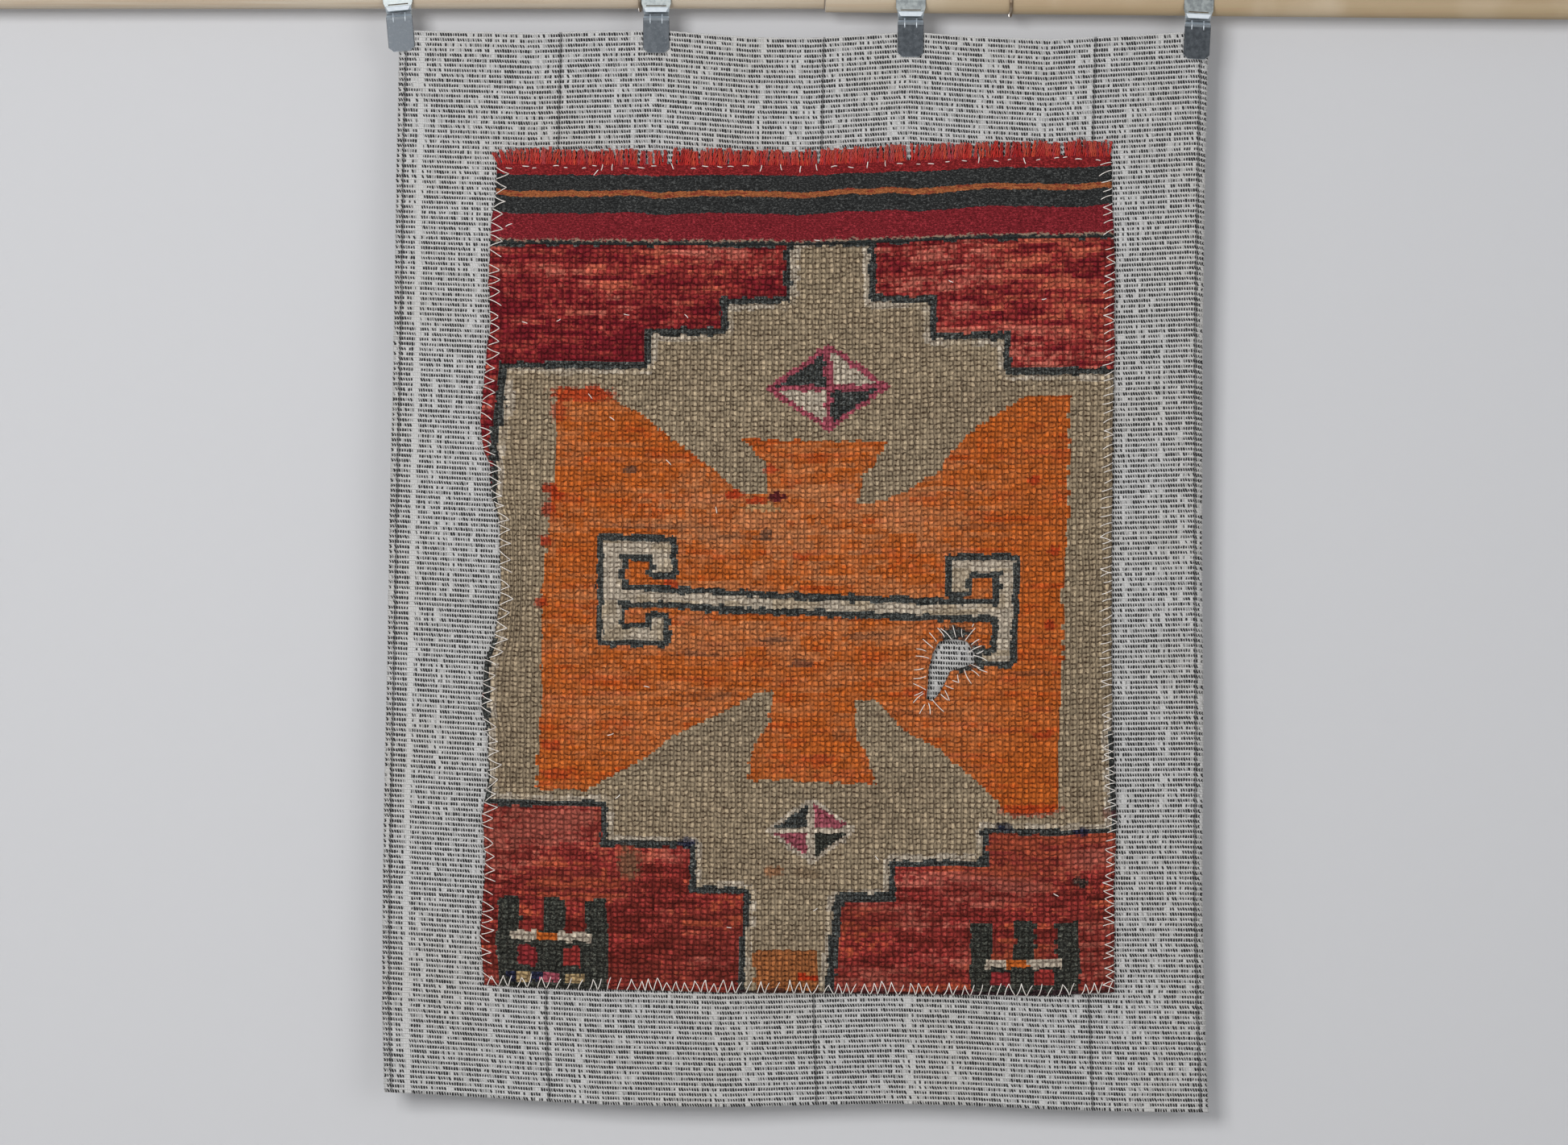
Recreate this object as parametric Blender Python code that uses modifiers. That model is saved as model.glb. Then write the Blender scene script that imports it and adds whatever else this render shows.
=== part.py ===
# Pile rug fragment sewn on a hand-woven backing cloth, hung by four steel clips from a wooden rail.
# Units are metres, +Z up. The cloth faces -Y. The origin is on top of the rail, in the middle of its length.
import math
import random

import bmesh
import bpy
import numpy as np
from mathutils import Matrix, Vector

MM = 0.001
GAP = 0.0003
JAW_GAP = 0.0005

# Rail: two round dowels set end to end, the right one a little lower and sloping down
RAIL_RADIUS = 12.5 * MM
RAIL_HALF_LENGTH = 760.0 * MM
RAIL_JOINT_X = 38.8 * MM
RAIL_STEP = 3.2 * MM
RAIL_SLOPE = math.radians(0.57)
RAIL_SIDES = 40
RAIL_END_BEVEL = 0.8 * MM

# Wire hooks that carry the rail
HOOK_WIRE_RADIUS = 1.5 * MM
HOOK_RISE = 30.0 * MM
HOOK_TIP_RISE = 6.0 * MM
HOOK_ARC_STEPS = 12
HOOK_X = {"hook_left": -136.0 * MM, "hook_right": 214.3 * MM}

# Steel clips, one row each: name, middle across, tilt in the cloth's plane in degrees
CLIP_TABLE = (
    ("clip_1", -365.0, -5.0),
    ("clip_2", -120.5, 0.0),
    ("clip_3", 119.7, 0.5),
    ("clip_4", 391.5, 3.0),
)
CLIP_STEEL = 1.2 * MM
LEVER_STEEL = 1.0 * MM
CLIP_EDGE_BEVEL = 0.25 * MM
STRAP_WIDTH = 28.0 * MM
STRAP_ARC_STEPS = 10
SLOT_SIZE = (19.0 * MM, 6.0 * MM, 1.2 * MM)
SLOT_DROP = 11.6 * MM

# Clip profiles in millimetres: depth from the sheet's own plane, height from the rail's middle, and width
STRAP_TAIL = ((0.0, -5.0, 22.4),)
STRAP_FRONT = ((0.0, -9.5, 28.0), (0.0, -12.9, 25.5), (0.6, -14.5, 24.6))
REAR_JAW = ((0.0, -18.5, 23.6), (0.0, -50.5, 23.6), (0.0, -54.0, 15.8))
FRONT_JAW = (
    (1.4, -19.2, 22.0), (1.0, -21.4, 23.6), (-0.5, -23.4, 24.6),
    (0.0, -25.5, 24.6), (0.0, -52.0, 24.6), (0.0, -55.9, 15.8),
)
LEVER = ((0.0, -13.6, 23.0), (-1.8, -17.8, 19.0))

# Angles in degrees: edges that stay sharp on dowels, wire and sheet steel, and edges that get a bevel
DOWEL_SHARP = 40
WIRE_SHARP = 50
STEEL_SHARP = 35
BEVEL_FROM = 60

# Backing cloth. Each outline row is: across, down from the top of the rail, both in millimetres
BACKING_THICKNESS = 2.0 * MM
BACKING_FRONT_Y = -12.4 * MM
BACKING_COLUMNS = 26
BACKING_ROWS = 30
BACKING_TOP = (
    (-362.5, 47.0), (-344.3, 47.4), (-237.9, 50.4), (-177.1, 48.1), (-120.5, 46.6), (-32.7, 53.0),
    (28.1, 53.5), (119.7, 48.5), (180.0, 53.0), (248.5, 56.5), (324.5, 51.9), (391.0, 48.0), (400.5, 50.4),
)
BACKING_BOTTOM = (
    (-376.2, 1047.5), (-313.9, 1052.1), (-245.5, 1056.7), (-169.5, 1060.5), (-55.5, 1062.7),
    (96.5, 1059.7), (172.5, 1061.2), (248.5, 1065.0), (324.5, 1067.3), (400.5, 1068.1),
)
BACKING_LEFT = (
    (-362.5, 47.0), (-365.6, 170.5), (-367.8, 322.5), (-371.6, 489.7), (-373.9, 626.5),
    (-377.0, 763.3), (-378.5, 854.5), (-379.2, 968.5), (-376.2, 1047.5),
)
BACKING_RIGHT = (
    (400.5, 50.4), (397.5, 170.5), (395.2, 322.5), (395.2, 550.5), (396.0, 702.5),
    (394.4, 854.5), (396.7, 960.9), (400.5, 1068.1),
)

# Rug fragment: a pile slab with a thinner flat-woven end at the top, in the same two columns
RUG_GAP = 0.8 * MM
RUG_THICKNESS = 5.6 * MM
FLAT_END_THICKNESS = 2.6 * MM
FLAT_END_SHARE = 0.094
PILE_START_SHARE = 0.103
RUG_COLUMNS = 24
RUG_PILE_ROWS = 28
RUG_TOP = (
    (-270.6, 172.8), (-131.5, 173.5), (20.5, 172.8), (111.7, 169.7), (172.5, 166.7), (307.8, 165.2),
)
RUG_BOTTOM = (
    (-282.7, 947.2), (-207.5, 950.3), (-131.5, 951.8), (-55.5, 954.1), (20.5, 954.8),
    (172.5, 956.3), (248.5, 957.1), (311.6, 954.1),
)
RUG_LEFT = (
    (-270.6, 172.8), (-271.3, 200.9), (-275.9, 223.7), (-278.2, 276.9), (-276.6, 322.5),
    (-280.4, 356.7), (-286.5, 413.7), (-284.2, 436.5), (-276.6, 459.3), (-275.1, 485.9),
    (-268.3, 508.7), (-266.8, 577.1), (-272.8, 618.9), (-282.0, 641.7), (-285.0, 687.3),
    (-278.9, 711.6), (-278.2, 751.9), (-285.0, 789.9), (-281.2, 827.9), (-286.5, 907.7), (-282.7, 947.2),
)
RUG_RIGHT = (
    (307.8, 165.2), (309.3, 219.9), (311.6, 257.9), (310.8, 360.5), (309.3, 474.5), (308.6, 599.9),
    (309.3, 702.5), (312.4, 770.9), (313.9, 789.9), (310.8, 846.9), (311.6, 954.1),
)
HOLE_OUTLINE = (
    (145.9, 623.5), (159.6, 620.4), (172.5, 623.5), (179.4, 634.9), (179.4, 644.0), (168.7, 647.8),
    (156.6, 651.6), (152.0, 661.5), (145.9, 672.9), (139.8, 679.7), (133.8, 677.4), (135.3, 663.7),
    (136.0, 650.1), (139.8, 634.9),
)

# Fringe: cut warps standing on a narrow strip that is parted from the rug's top edge
FRINGE_STRANDS = 168
FRINGE_INSET = 1.5 * MM
FRINGE_STRIP_HEIGHT = 2.6 * MM
FRINGE_STRIP_THICKNESS = 2.2 * MM
FRINGE_ROOT_SHARE = 0.62
FRINGE_TIP_SHARE = 0.40
FRINGE_LENGTH = (8.5 * MM, 12.8 * MM)
FRINGE_FORWARD = 0.6 * MM
FRINGE_LEAN = 0.16
FRINGE_SWAY_STEP = 0.21
FRINGE_STRAY = 0.05
FRINGE_SEED = 7

# The cloth's bellies between the clips, in metres: their depth, where they start and how far down they fade
BELLY_DEPTH = 0.005
BELLY_START = 0.05
BELLY_FADE = 0.26

# Below the clips the cloth settles into upright folds: depth, width, phase, and turn for each metre down
SETTLE_START = 0.085
SETTLE_RUN = 0.12
FOLDS = ((0.0016, 0.33, 0.8, 0.0), (0.0012, 0.52, 0.0, 5.0))

# The lower left corner curls forward: depth, place across and down, reach across and down
CURL_DEPTH = -0.008
CURL_PLACE = (-0.376, 1.05)
CURL_REACH = (0.05, 0.06)

# The right edge waves: depth, place across, reach across, and turn for each metre down
EDGE_WAVE = (-0.0025, 0.40, 0.03, 9.0)

# Colour, roughness and metallic share of each material
MATERIALS = {
    "backing_cotton": ((0.62, 0.60, 0.56), 0.95, 0.0),
    "rug_wool": ((0.62, 0.24, 0.10), 0.95, 0.0),
    "fringe_wool": ((0.66, 0.17, 0.12), 0.95, 0.0),
    "rail_wood": ((0.72, 0.55, 0.38), 0.6, 0.0),
    "hook_wire": ((0.55, 0.50, 0.42), 0.4, 1.0),
    "clip_steel": ((0.60, 0.63, 0.66), 0.35, 1.0),
}


def remove_scene_objects():
    for old in list(bpy.data.objects):
        bpy.data.objects.remove(old, do_unlink=True)


def new_collection(name):
    collection = bpy.data.collections.new(name)
    bpy.context.scene.collection.children.link(collection)
    return collection


def new_material(name):
    color, roughness, metallic = MATERIALS[name]
    material = bpy.data.materials.new(name)
    material.use_nodes = True
    shader = material.node_tree.nodes["Principled BSDF"]
    shader.inputs["Base Color"].default_value = (*color, 1.0)
    shader.inputs["Roughness"].default_value = roughness
    shader.inputs["Metallic"].default_value = metallic
    return material


def new_object(name, mesh, collection, material=None):
    obj = bpy.data.objects.new(name, mesh)
    collection.objects.link(obj)
    if material is not None:
        mesh.materials.append(material)
    return obj


def curve_at(table, share):
    # A point at a share of the way along an outline, as metres across and metres down
    points = np.array(table) * MM
    steps = np.hypot(*np.diff(points, axis=0).T)
    run = np.concatenate(([0.0], np.cumsum(steps))) / steps.sum()
    return Vector((np.interp(share, run, points[:, 0]), np.interp(share, run, points[:, 1])))


def height_at(table, across):
    # How far down an edge lies at a place across, in metres
    points = np.array(table) * MM
    return float(np.interp(across, points[:, 0], points[:, 1]))


def patch_point(edges, u, v):
    # Blends four outline edges into a point inside them (a Coons patch)
    top, bottom, left, right = edges
    corners = [curve_at(top, 0), curve_at(top, 1), curve_at(bottom, 0), curve_at(bottom, 1)]
    along = curve_at(top, u) * (1 - v) + curve_at(bottom, u) * v
    aside = curve_at(left, v) * (1 - u) + curve_at(right, v) * u
    upper = corners[0] * (1 - u) + corners[1] * u
    lower = corners[2] * (1 - u) + corners[3] * u
    return along + aside - upper * (1 - v) - lower * v


def cloth_front(across, down):
    # Depth of the backing's front face: bellies between the clips, soft upright folds and a curled corner
    clip_x = [row[1] * MM for row in CLIP_TABLE]
    fade = math.exp(-(down - BELLY_START) / BELLY_FADE)
    belly = 0.0
    for index, (low, high) in enumerate(zip(clip_x, clip_x[1:])):
        if low <= across <= high:
            side = 1 if index % 2 else -1
            belly = side * BELLY_DEPTH * math.sin(math.pi * (across - low) / (high - low)) ** 2
    settle = 1 - math.exp(-max(0.0, down - SETTLE_START) / SETTLE_RUN)
    folds = 0.0
    for depth, width, phase, turn in FOLDS:
        folds += depth * math.sin(2 * math.pi * across / width + phase + turn * down)
    aside = (across - CURL_PLACE[0]) / CURL_REACH[0]
    below = (down - CURL_PLACE[1]) / CURL_REACH[1]
    curl = CURL_DEPTH * math.exp(-aside ** 2 - below ** 2)
    wave_depth, wave_place, wave_reach, wave_turn = EDGE_WAVE
    wave = wave_depth * math.exp(-((across - wave_place) / wave_reach) ** 2) * math.sin(wave_turn * down)
    return BACKING_FRONT_Y + belly * fade + settle * (folds + wave) + curl


def sheet_surface(name, edges, columns, row_shares, offset, collection, material):
    # An open grid laid in its outline and bent to the hanging cloth
    mesh = bpy.data.meshes.new(name)
    build = bmesh.new()
    rows = len(row_shares) - 1
    bmesh.ops.create_grid(build, x_segments=columns, y_segments=rows, size=0.5)
    for vert in build.verts:
        u = vert.co.x + 0.5
        v = row_shares[round((0.5 - vert.co.y) * rows)]
        place = patch_point(edges, u, v)
        vert.co = Vector((place.x, cloth_front(place.x, place.y) + offset, -place.y))
    build.to_mesh(mesh)
    build.free()
    mesh.shade_smooth()
    return new_object(name, mesh, collection, material)


def add_solidify(obj, thickness, offset):
    solidify = obj.modifiers.new("thickness", "SOLIDIFY")
    solidify.thickness = thickness
    solidify.offset = offset
    return solidify


def make_backing(collection):
    material = new_material("backing_cotton")
    edges = (BACKING_TOP, BACKING_BOTTOM, BACKING_LEFT, BACKING_RIGHT)
    shares = [row / BACKING_ROWS for row in range(BACKING_ROWS + 1)]
    backing = sheet_surface("backing_cloth", edges, BACKING_COLUMNS, shares, 0.0, collection, material)
    add_solidify(backing, BACKING_THICKNESS, -1.0)


def make_hole_cutter(cutters):
    curve = bpy.data.curves.new("hole_cutter_outline", "CURVE")
    curve.dimensions = "2D"
    curve.fill_mode = "BOTH"
    curve.extrude = 20.0 * MM
    spline = curve.splines.new("POLY")
    spline.points.add(len(HOLE_OUTLINE) - 1)
    for point, (across, down) in zip(spline.points, HOLE_OUTLINE):
        point.co = (across * MM, -down * MM, 0.0, 1.0)
    spline.use_cyclic_u = True
    outline = bpy.data.objects.new("hole_cutter_outline", curve)
    cutters.objects.link(outline)
    outline.matrix_world = Matrix.Translation((0, BACKING_FRONT_Y, 0)) @ Matrix.Rotation(math.pi / 2, 4, "X")
    return curve_to_mesh(outline, "hole_cutter", cutters)


def curve_to_mesh(outline, name, collection):
    # Turns a curve into a welded mesh that keeps the curve's place
    bpy.context.view_layer.update()
    graph = bpy.context.evaluated_depsgraph_get()
    mesh = bpy.data.meshes.new_from_object(outline.evaluated_get(graph))
    build = bmesh.new()
    build.from_mesh(mesh)
    bmesh.ops.remove_doubles(build, verts=build.verts, dist=1e-6)
    bmesh.ops.recalc_face_normals(build, faces=build.faces)
    build.to_mesh(mesh)
    build.free()
    solid = new_object(name, mesh, collection)
    solid.matrix_world = outline.matrix_world.copy()
    bpy.data.objects.remove(outline, do_unlink=True)
    return solid


def hide_cutter(cutter):
    cutter.hide_render = True
    cutter.display_type = "WIRE"


def make_rug(collection, cutters):
    material = new_material("rug_wool")
    edges = (RUG_TOP, RUG_BOTTOM, RUG_LEFT, RUG_RIGHT)
    pile_rows = np.linspace(PILE_START_SHARE, 1.0, RUG_PILE_ROWS + 1)
    shares = [0.0, FLAT_END_SHARE / 3, FLAT_END_SHARE * 2 / 3, FLAT_END_SHARE, *pile_rows.tolist()]
    rug = sheet_surface("rug_fragment", edges, RUG_COLUMNS, shares, -RUG_GAP, collection, material)
    group = rug.vertex_groups.new(name="pile")
    pile_start = shares.index(PILE_START_SHARE) * (RUG_COLUMNS + 1)
    vert_count = len(rug.data.vertices)
    group.add(list(range(vert_count - pile_start)), 1.0, "REPLACE")
    solidify = add_solidify(rug, RUG_THICKNESS, 1.0)
    solidify.vertex_group = "pile"
    solidify.thickness_vertex_group = FLAT_END_THICKNESS / RUG_THICKNESS
    cutter = make_hole_cutter(cutters)
    hide_cutter(cutter)
    hole = rug.modifiers.new("hole", "BOOLEAN")
    hole.operation = "DIFFERENCE"
    hole.object = cutter


def make_fringe(collection):
    # One strip of cells, each second cell drawn out into a four-sided strand
    material = new_material("fringe_wool")
    rng = random.Random(FRINGE_SEED)
    start = RUG_TOP[0][0] * MM + FRINGE_INSET
    end = RUG_TOP[-1][0] * MM - FRINGE_INSET
    pitch = (end - start) / FRINGE_STRANDS
    root = pitch * FRINGE_ROOT_SHARE
    marks = [start]
    for index in range(FRINGE_STRANDS):
        marks += [start + index * pitch + (pitch - root) / 2, start + index * pitch + (pitch + root) / 2]
    marks.append(end)
    mesh = bpy.data.meshes.new("fringe")
    build = bmesh.new()
    bmesh.ops.create_grid(build, x_segments=len(marks) - 1, y_segments=1, size=0.5)
    cells = len(marks) - 1
    for vert in build.verts:
        across = marks[round((vert.co.x + 0.5) * cells)]
        down = height_at(RUG_TOP, across) - GAP - FRINGE_STRIP_HEIGHT * (vert.co.y + 0.5)
        vert.co = Vector((across, cloth_front(across, down) - RUG_GAP, -down))
    front = bmesh.ops.extrude_face_region(build, geom=list(build.faces))
    for item in front["geom"]:
        if isinstance(item, bmesh.types.BMVert):
            item.co.y -= FRINGE_STRIP_THICKNESS
    bmesh.ops.recalc_face_normals(build, faces=build.faces)
    tops = [face for face in build.faces if face.normal.z > 0.9]
    tops.sort(key=lambda face: face.calc_center_median().x)
    for index, face in enumerate(tops[1::2]):
        length = rng.uniform(*FRINGE_LENGTH)
        lean = FRINGE_LEAN * math.sin(index * FRINGE_SWAY_STEP) + rng.uniform(-FRINGE_STRAY, FRINGE_STRAY)
        drawn = bmesh.ops.extrude_discrete_faces(build, faces=[face])["faces"][0]
        centre = drawn.calc_center_median()
        forward = rng.uniform(0.0, FRINGE_FORWARD)
        tip = centre + Vector((length * math.sin(lean), -forward, length * math.cos(lean)))
        for vert in drawn.verts:
            reach = vert.co - centre
            vert.co = tip + reach * (FRINGE_TIP_SHARE / FRINGE_ROOT_SHARE)
    build.to_mesh(mesh)
    build.free()
    new_object("fringe", mesh, collection, material)


def make_dowel(name, length, collection, material):
    # A round bar from its own origin along +X
    mesh = bpy.data.meshes.new(name)
    build = bmesh.new()
    bmesh.ops.create_cone(
        build, cap_ends=True, segments=RAIL_SIDES, radius1=RAIL_RADIUS, radius2=RAIL_RADIUS, depth=length)
    bmesh.ops.transform(build, matrix=Matrix.Rotation(math.pi / 2, 4, "Y"), verts=build.verts)
    bmesh.ops.translate(build, vec=(length / 2, 0, 0), verts=build.verts)
    build.to_mesh(mesh)
    build.free()
    mesh.shade_smooth()
    mesh.set_sharp_from_angle(angle=math.radians(DOWEL_SHARP))
    dowel = new_object(name, mesh, collection, material)
    bevel = dowel.modifiers.new("end_bevel", "BEVEL")
    bevel.width = RAIL_END_BEVEL
    bevel.segments = 1
    bevel.limit_method = "ANGLE"
    bevel.angle_limit = math.radians(BEVEL_FROM)
    return dowel


def make_rail(collection):
    material = new_material("rail_wood")
    left = make_dowel("rail_left", RAIL_HALF_LENGTH + RAIL_JOINT_X - GAP, collection, material)
    left.location = (-RAIL_HALF_LENGTH, 0, -RAIL_RADIUS)
    right_length = (RAIL_HALF_LENGTH - RAIL_JOINT_X) / math.cos(RAIL_SLOPE)
    right = make_dowel("rail_right", right_length, collection, material)
    right.location = (RAIL_JOINT_X + GAP, 0, -RAIL_RADIUS - RAIL_STEP)
    right.rotation_euler = (0, RAIL_SLOPE, 0)


def rail_slope(across):
    return RAIL_SLOPE if across > RAIL_JOINT_X else 0.0


def rail_axis_height(across):
    step = RAIL_STEP if across > RAIL_JOINT_X else 0.0
    return -RAIL_RADIUS - step - (across - RAIL_JOINT_X) * math.tan(rail_slope(across))


def make_hook(name, across, collection, material):
    # Wire: a straight shank behind the rail, round under it, and a short tip in front
    radius = RAIL_RADIUS + GAP + HOOK_WIRE_RADIUS
    axis = rail_axis_height(across)
    points = [(0.0, radius, HOOK_RISE - axis), (0.0, radius, RAIL_RADIUS)]
    for step in range(HOOK_ARC_STEPS + 1):
        angle = math.pi * step / HOOK_ARC_STEPS
        points.append((0.0, radius * math.cos(angle), -radius * math.sin(angle)))
    points.append((0.0, -radius, HOOK_TIP_RISE))
    curve = bpy.data.curves.new(name, "CURVE")
    curve.dimensions = "3D"
    curve.bevel_depth = HOOK_WIRE_RADIUS
    curve.bevel_resolution = 2
    curve.use_fill_caps = True
    spline = curve.splines.new("POLY")
    spline.points.add(len(points) - 1)
    for target, point in zip(spline.points, points):
        target.co = (*point, 1.0)
    wire = bpy.data.objects.new(name + "_wire", curve)
    collection.objects.link(wire)
    wire.location = (across, 0, axis)
    hook = curve_to_mesh(wire, name, collection)
    hook.data.materials.clear()
    hook.data.materials.append(material)
    hook.data.shade_smooth()
    hook.data.set_sharp_from_angle(angle=math.radians(WIRE_SHARP))


def make_strip(name, stations, thickness, collection, material):
    # Sheet steel bent along stations of depth, height and width, seen from the side
    mesh = bpy.data.meshes.new(name)
    build = bmesh.new()
    rows = len(stations) - 1
    bmesh.ops.create_grid(build, x_segments=1, y_segments=rows, size=0.5)
    for vert in build.verts:
        depth, height, width = stations[round((0.5 - vert.co.y) * rows)]
        vert.co = Vector((vert.co.x * width, depth, height))
    bmesh.ops.recalc_face_normals(build, faces=build.faces)
    build.to_mesh(mesh)
    build.free()
    strip = new_object(name, mesh, collection, material)
    add_solidify(strip, thickness, 0.0).use_even_offset = True
    bevel = strip.modifiers.new("edge_bevel", "BEVEL")
    bevel.width = CLIP_EDGE_BEVEL
    bevel.segments = 1
    bevel.limit_method = "ANGLE"
    bevel.angle_limit = math.radians(BEVEL_FROM)
    mesh.shade_smooth()
    mesh.set_sharp_from_angle(angle=math.radians(STEEL_SHARP))
    return strip


def placed_profile(rows, plane):
    # A clip profile's rows as stations in metres, with their depth measured from a plane
    return [(plane + depth * MM, height * MM, width * MM) for depth, height, width in rows]


def strap_stations():
    # Over the rail and down its front, then back behind the cloth as the rear jaw
    loop = RAIL_RADIUS + GAP + CLIP_STEEL / 2
    rear = BACKING_FRONT_Y + BACKING_THICKNESS + JAW_GAP + CLIP_STEEL / 2
    stations = placed_profile(STRAP_TAIL, loop)
    for step in range(STRAP_ARC_STEPS + 1):
        angle = math.pi * step / STRAP_ARC_STEPS
        stations.append((loop * math.cos(angle), loop * math.sin(angle), STRAP_WIDTH))
    return stations + placed_profile(STRAP_FRONT, -loop) + placed_profile(REAR_JAW, rear)


def jaw_stations():
    # The front jaw with its chamfered corners, bent back at the top towards the pivot
    return placed_profile(FRONT_JAW, BACKING_FRONT_Y - JAW_GAP - CLIP_STEEL / 2)


def lever_stations():
    # The bright bar above the jaw, its foot standing forward
    return placed_profile(LEVER, -(RAIL_RADIUS + GAP + CLIP_STEEL + GAP + LEVER_STEEL))


def make_slot_cutter(name, pose, cutters):
    mesh = bpy.data.meshes.new(name)
    build = bmesh.new()
    bmesh.ops.create_cube(build, size=1.0, matrix=Matrix.Diagonal((*SLOT_SIZE, 1.0)))
    build.to_mesh(mesh)
    build.free()
    cutter = new_object(name, mesh, cutters)
    loop = RAIL_RADIUS + GAP + CLIP_STEEL / 2
    cutter.matrix_world = pose @ Matrix.Translation((0, -loop, -SLOT_DROP))
    hide_cutter(cutter)
    return cutter


def make_clip(name, across, tilt, collection, cutters, material):
    lift = STRAP_WIDTH / 2 * abs(math.sin(tilt - rail_slope(across)))
    pivot = Vector((across, 0, rail_axis_height(across) + lift))
    pose = Matrix.Translation(pivot) @ Matrix.Rotation(tilt, 4, "Y")
    strap = make_strip(name + "_strap", strap_stations(), CLIP_STEEL, collection, material)
    jaw = make_strip(name + "_jaw", jaw_stations(), CLIP_STEEL, collection, material)
    lever = make_strip(name + "_lever", lever_stations(), LEVER_STEEL, collection, material)
    for piece in (strap, jaw, lever):
        piece.matrix_world = pose
    slot = strap.modifiers.new("slot", "BOOLEAN")
    slot.operation = "DIFFERENCE"
    slot.object = make_slot_cutter(name + "_slot_cutter", pose, cutters)


def main():
    remove_scene_objects()
    parts = new_collection("tapestry_rug_on_rail")
    cutters = new_collection("cutters")
    make_backing(parts)
    make_rug(parts, cutters)
    make_fringe(parts)
    make_rail(parts)
    wire = new_material("hook_wire")
    for name, across in HOOK_X.items():
        make_hook(name, across, parts, wire)
    steel = new_material("clip_steel")
    for name, across, tilt in CLIP_TABLE:
        make_clip(name, across * MM, math.radians(tilt), parts, cutters, steel)


main()
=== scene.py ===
"""Looks of the hung rug: flecked backing, knotted pile, flat-woven end, fringe, sewing, rail and clips."""
import math
import random

import bpy
import numpy as np
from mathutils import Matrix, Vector
from mathutils.kdtree import KDTree


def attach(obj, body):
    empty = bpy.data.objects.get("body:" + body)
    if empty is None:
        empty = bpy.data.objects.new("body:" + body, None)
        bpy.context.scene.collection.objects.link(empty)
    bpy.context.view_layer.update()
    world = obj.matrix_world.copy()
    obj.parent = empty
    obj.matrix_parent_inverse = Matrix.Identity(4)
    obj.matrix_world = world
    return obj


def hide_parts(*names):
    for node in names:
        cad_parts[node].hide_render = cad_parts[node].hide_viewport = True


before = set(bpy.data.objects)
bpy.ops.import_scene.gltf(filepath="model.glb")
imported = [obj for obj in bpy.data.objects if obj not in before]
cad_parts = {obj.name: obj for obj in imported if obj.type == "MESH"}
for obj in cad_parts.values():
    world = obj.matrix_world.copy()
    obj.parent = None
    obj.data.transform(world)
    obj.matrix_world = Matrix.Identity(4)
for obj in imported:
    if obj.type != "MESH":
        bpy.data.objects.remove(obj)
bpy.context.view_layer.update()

MM = 0.001

# Outlines in millimetres across and down, as in the solids
BACKING_TOP = [
    (-362.5, 47), (-344.3, 47.4), (-237.9, 50.4), (-177.1, 48.1), (-120.5, 46.6), (-32.7, 53),
    (28.1, 53.5), (119.7, 48.5), (180, 53), (248.5, 56.5), (324.5, 51.9), (391, 48), (400.5, 50.4)]
BACKING_BOTTOM = [
    (-376.2, 1047.5), (-313.9, 1052.1), (-245.5, 1056.7), (-169.5, 1060.5), (-55.5, 1062.7), (96.5, 1059.7),
    (172.5, 1061.2), (248.5, 1065), (324.5, 1067.3), (400.5, 1068.1)]
BACKING_LEFT = [
    (-362.5, 47), (-365.6, 170.5), (-367.8, 322.5), (-371.6, 489.7), (-373.9, 626.5), (-377, 763.3),
    (-378.5, 854.5), (-379.2, 968.5), (-376.2, 1047.5)]
BACKING_RIGHT = [
    (400.5, 50.4), (397.5, 170.5), (395.2, 322.5), (395.2, 550.5), (396, 702.5), (394.4, 854.5),
    (396.7, 960.9), (400.5, 1068.1)]
RUG_TOP = [(-270.6, 172.8), (-131.5, 173.5), (20.5, 172.8), (111.7, 169.7), (172.5, 166.7), (307.8, 165.2)]
RUG_BOTTOM = [
    (-282.7, 947.2), (-207.5, 950.3), (-131.5, 951.8), (-55.5, 954.1), (20.5, 954.8), (172.5, 956.3),
    (248.5, 957.1), (311.6, 954.1)]
RUG_LEFT = [
    (-270.6, 172.8), (-271.3, 200.9), (-275.9, 223.7), (-278.2, 276.9), (-276.6, 322.5), (-280.4, 356.7),
    (-286.5, 413.7), (-284.2, 436.5), (-276.6, 459.3), (-275.1, 485.9), (-268.3, 508.7), (-266.8, 577.1),
    (-272.8, 618.9), (-282, 641.7), (-285, 687.3), (-278.9, 711.6), (-278.2, 751.9), (-285, 789.9),
    (-281.2, 827.9), (-286.5, 907.7), (-282.7, 947.2)]
RUG_RIGHT = [
    (307.8, 165.2), (309.3, 219.9), (311.6, 257.9), (310.8, 360.5), (309.3, 474.5), (308.6, 599.9),
    (309.3, 702.5), (312.4, 770.9), (313.9, 789.9), (310.8, 846.9), (311.6, 954.1)]
HOLE = [
    (145.9, 623.5), (159.6, 620.4), (172.5, 623.5), (179.4, 634.9), (179.4, 644), (168.7, 647.8),
    (156.6, 651.6), (152, 661.5), (145.9, 672.9), (139.8, 679.7), (133.8, 677.4), (135.3, 663.7),
    (136, 650.1), (139.8, 634.9)]

# The photo's scale: millimetres a pixel, its middle column, and rows from its top up to the rail's top
PIXEL = 0.76
MIDDLE_COLUMN = 973.0
ROWS_ABOVE = 24.4

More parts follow.
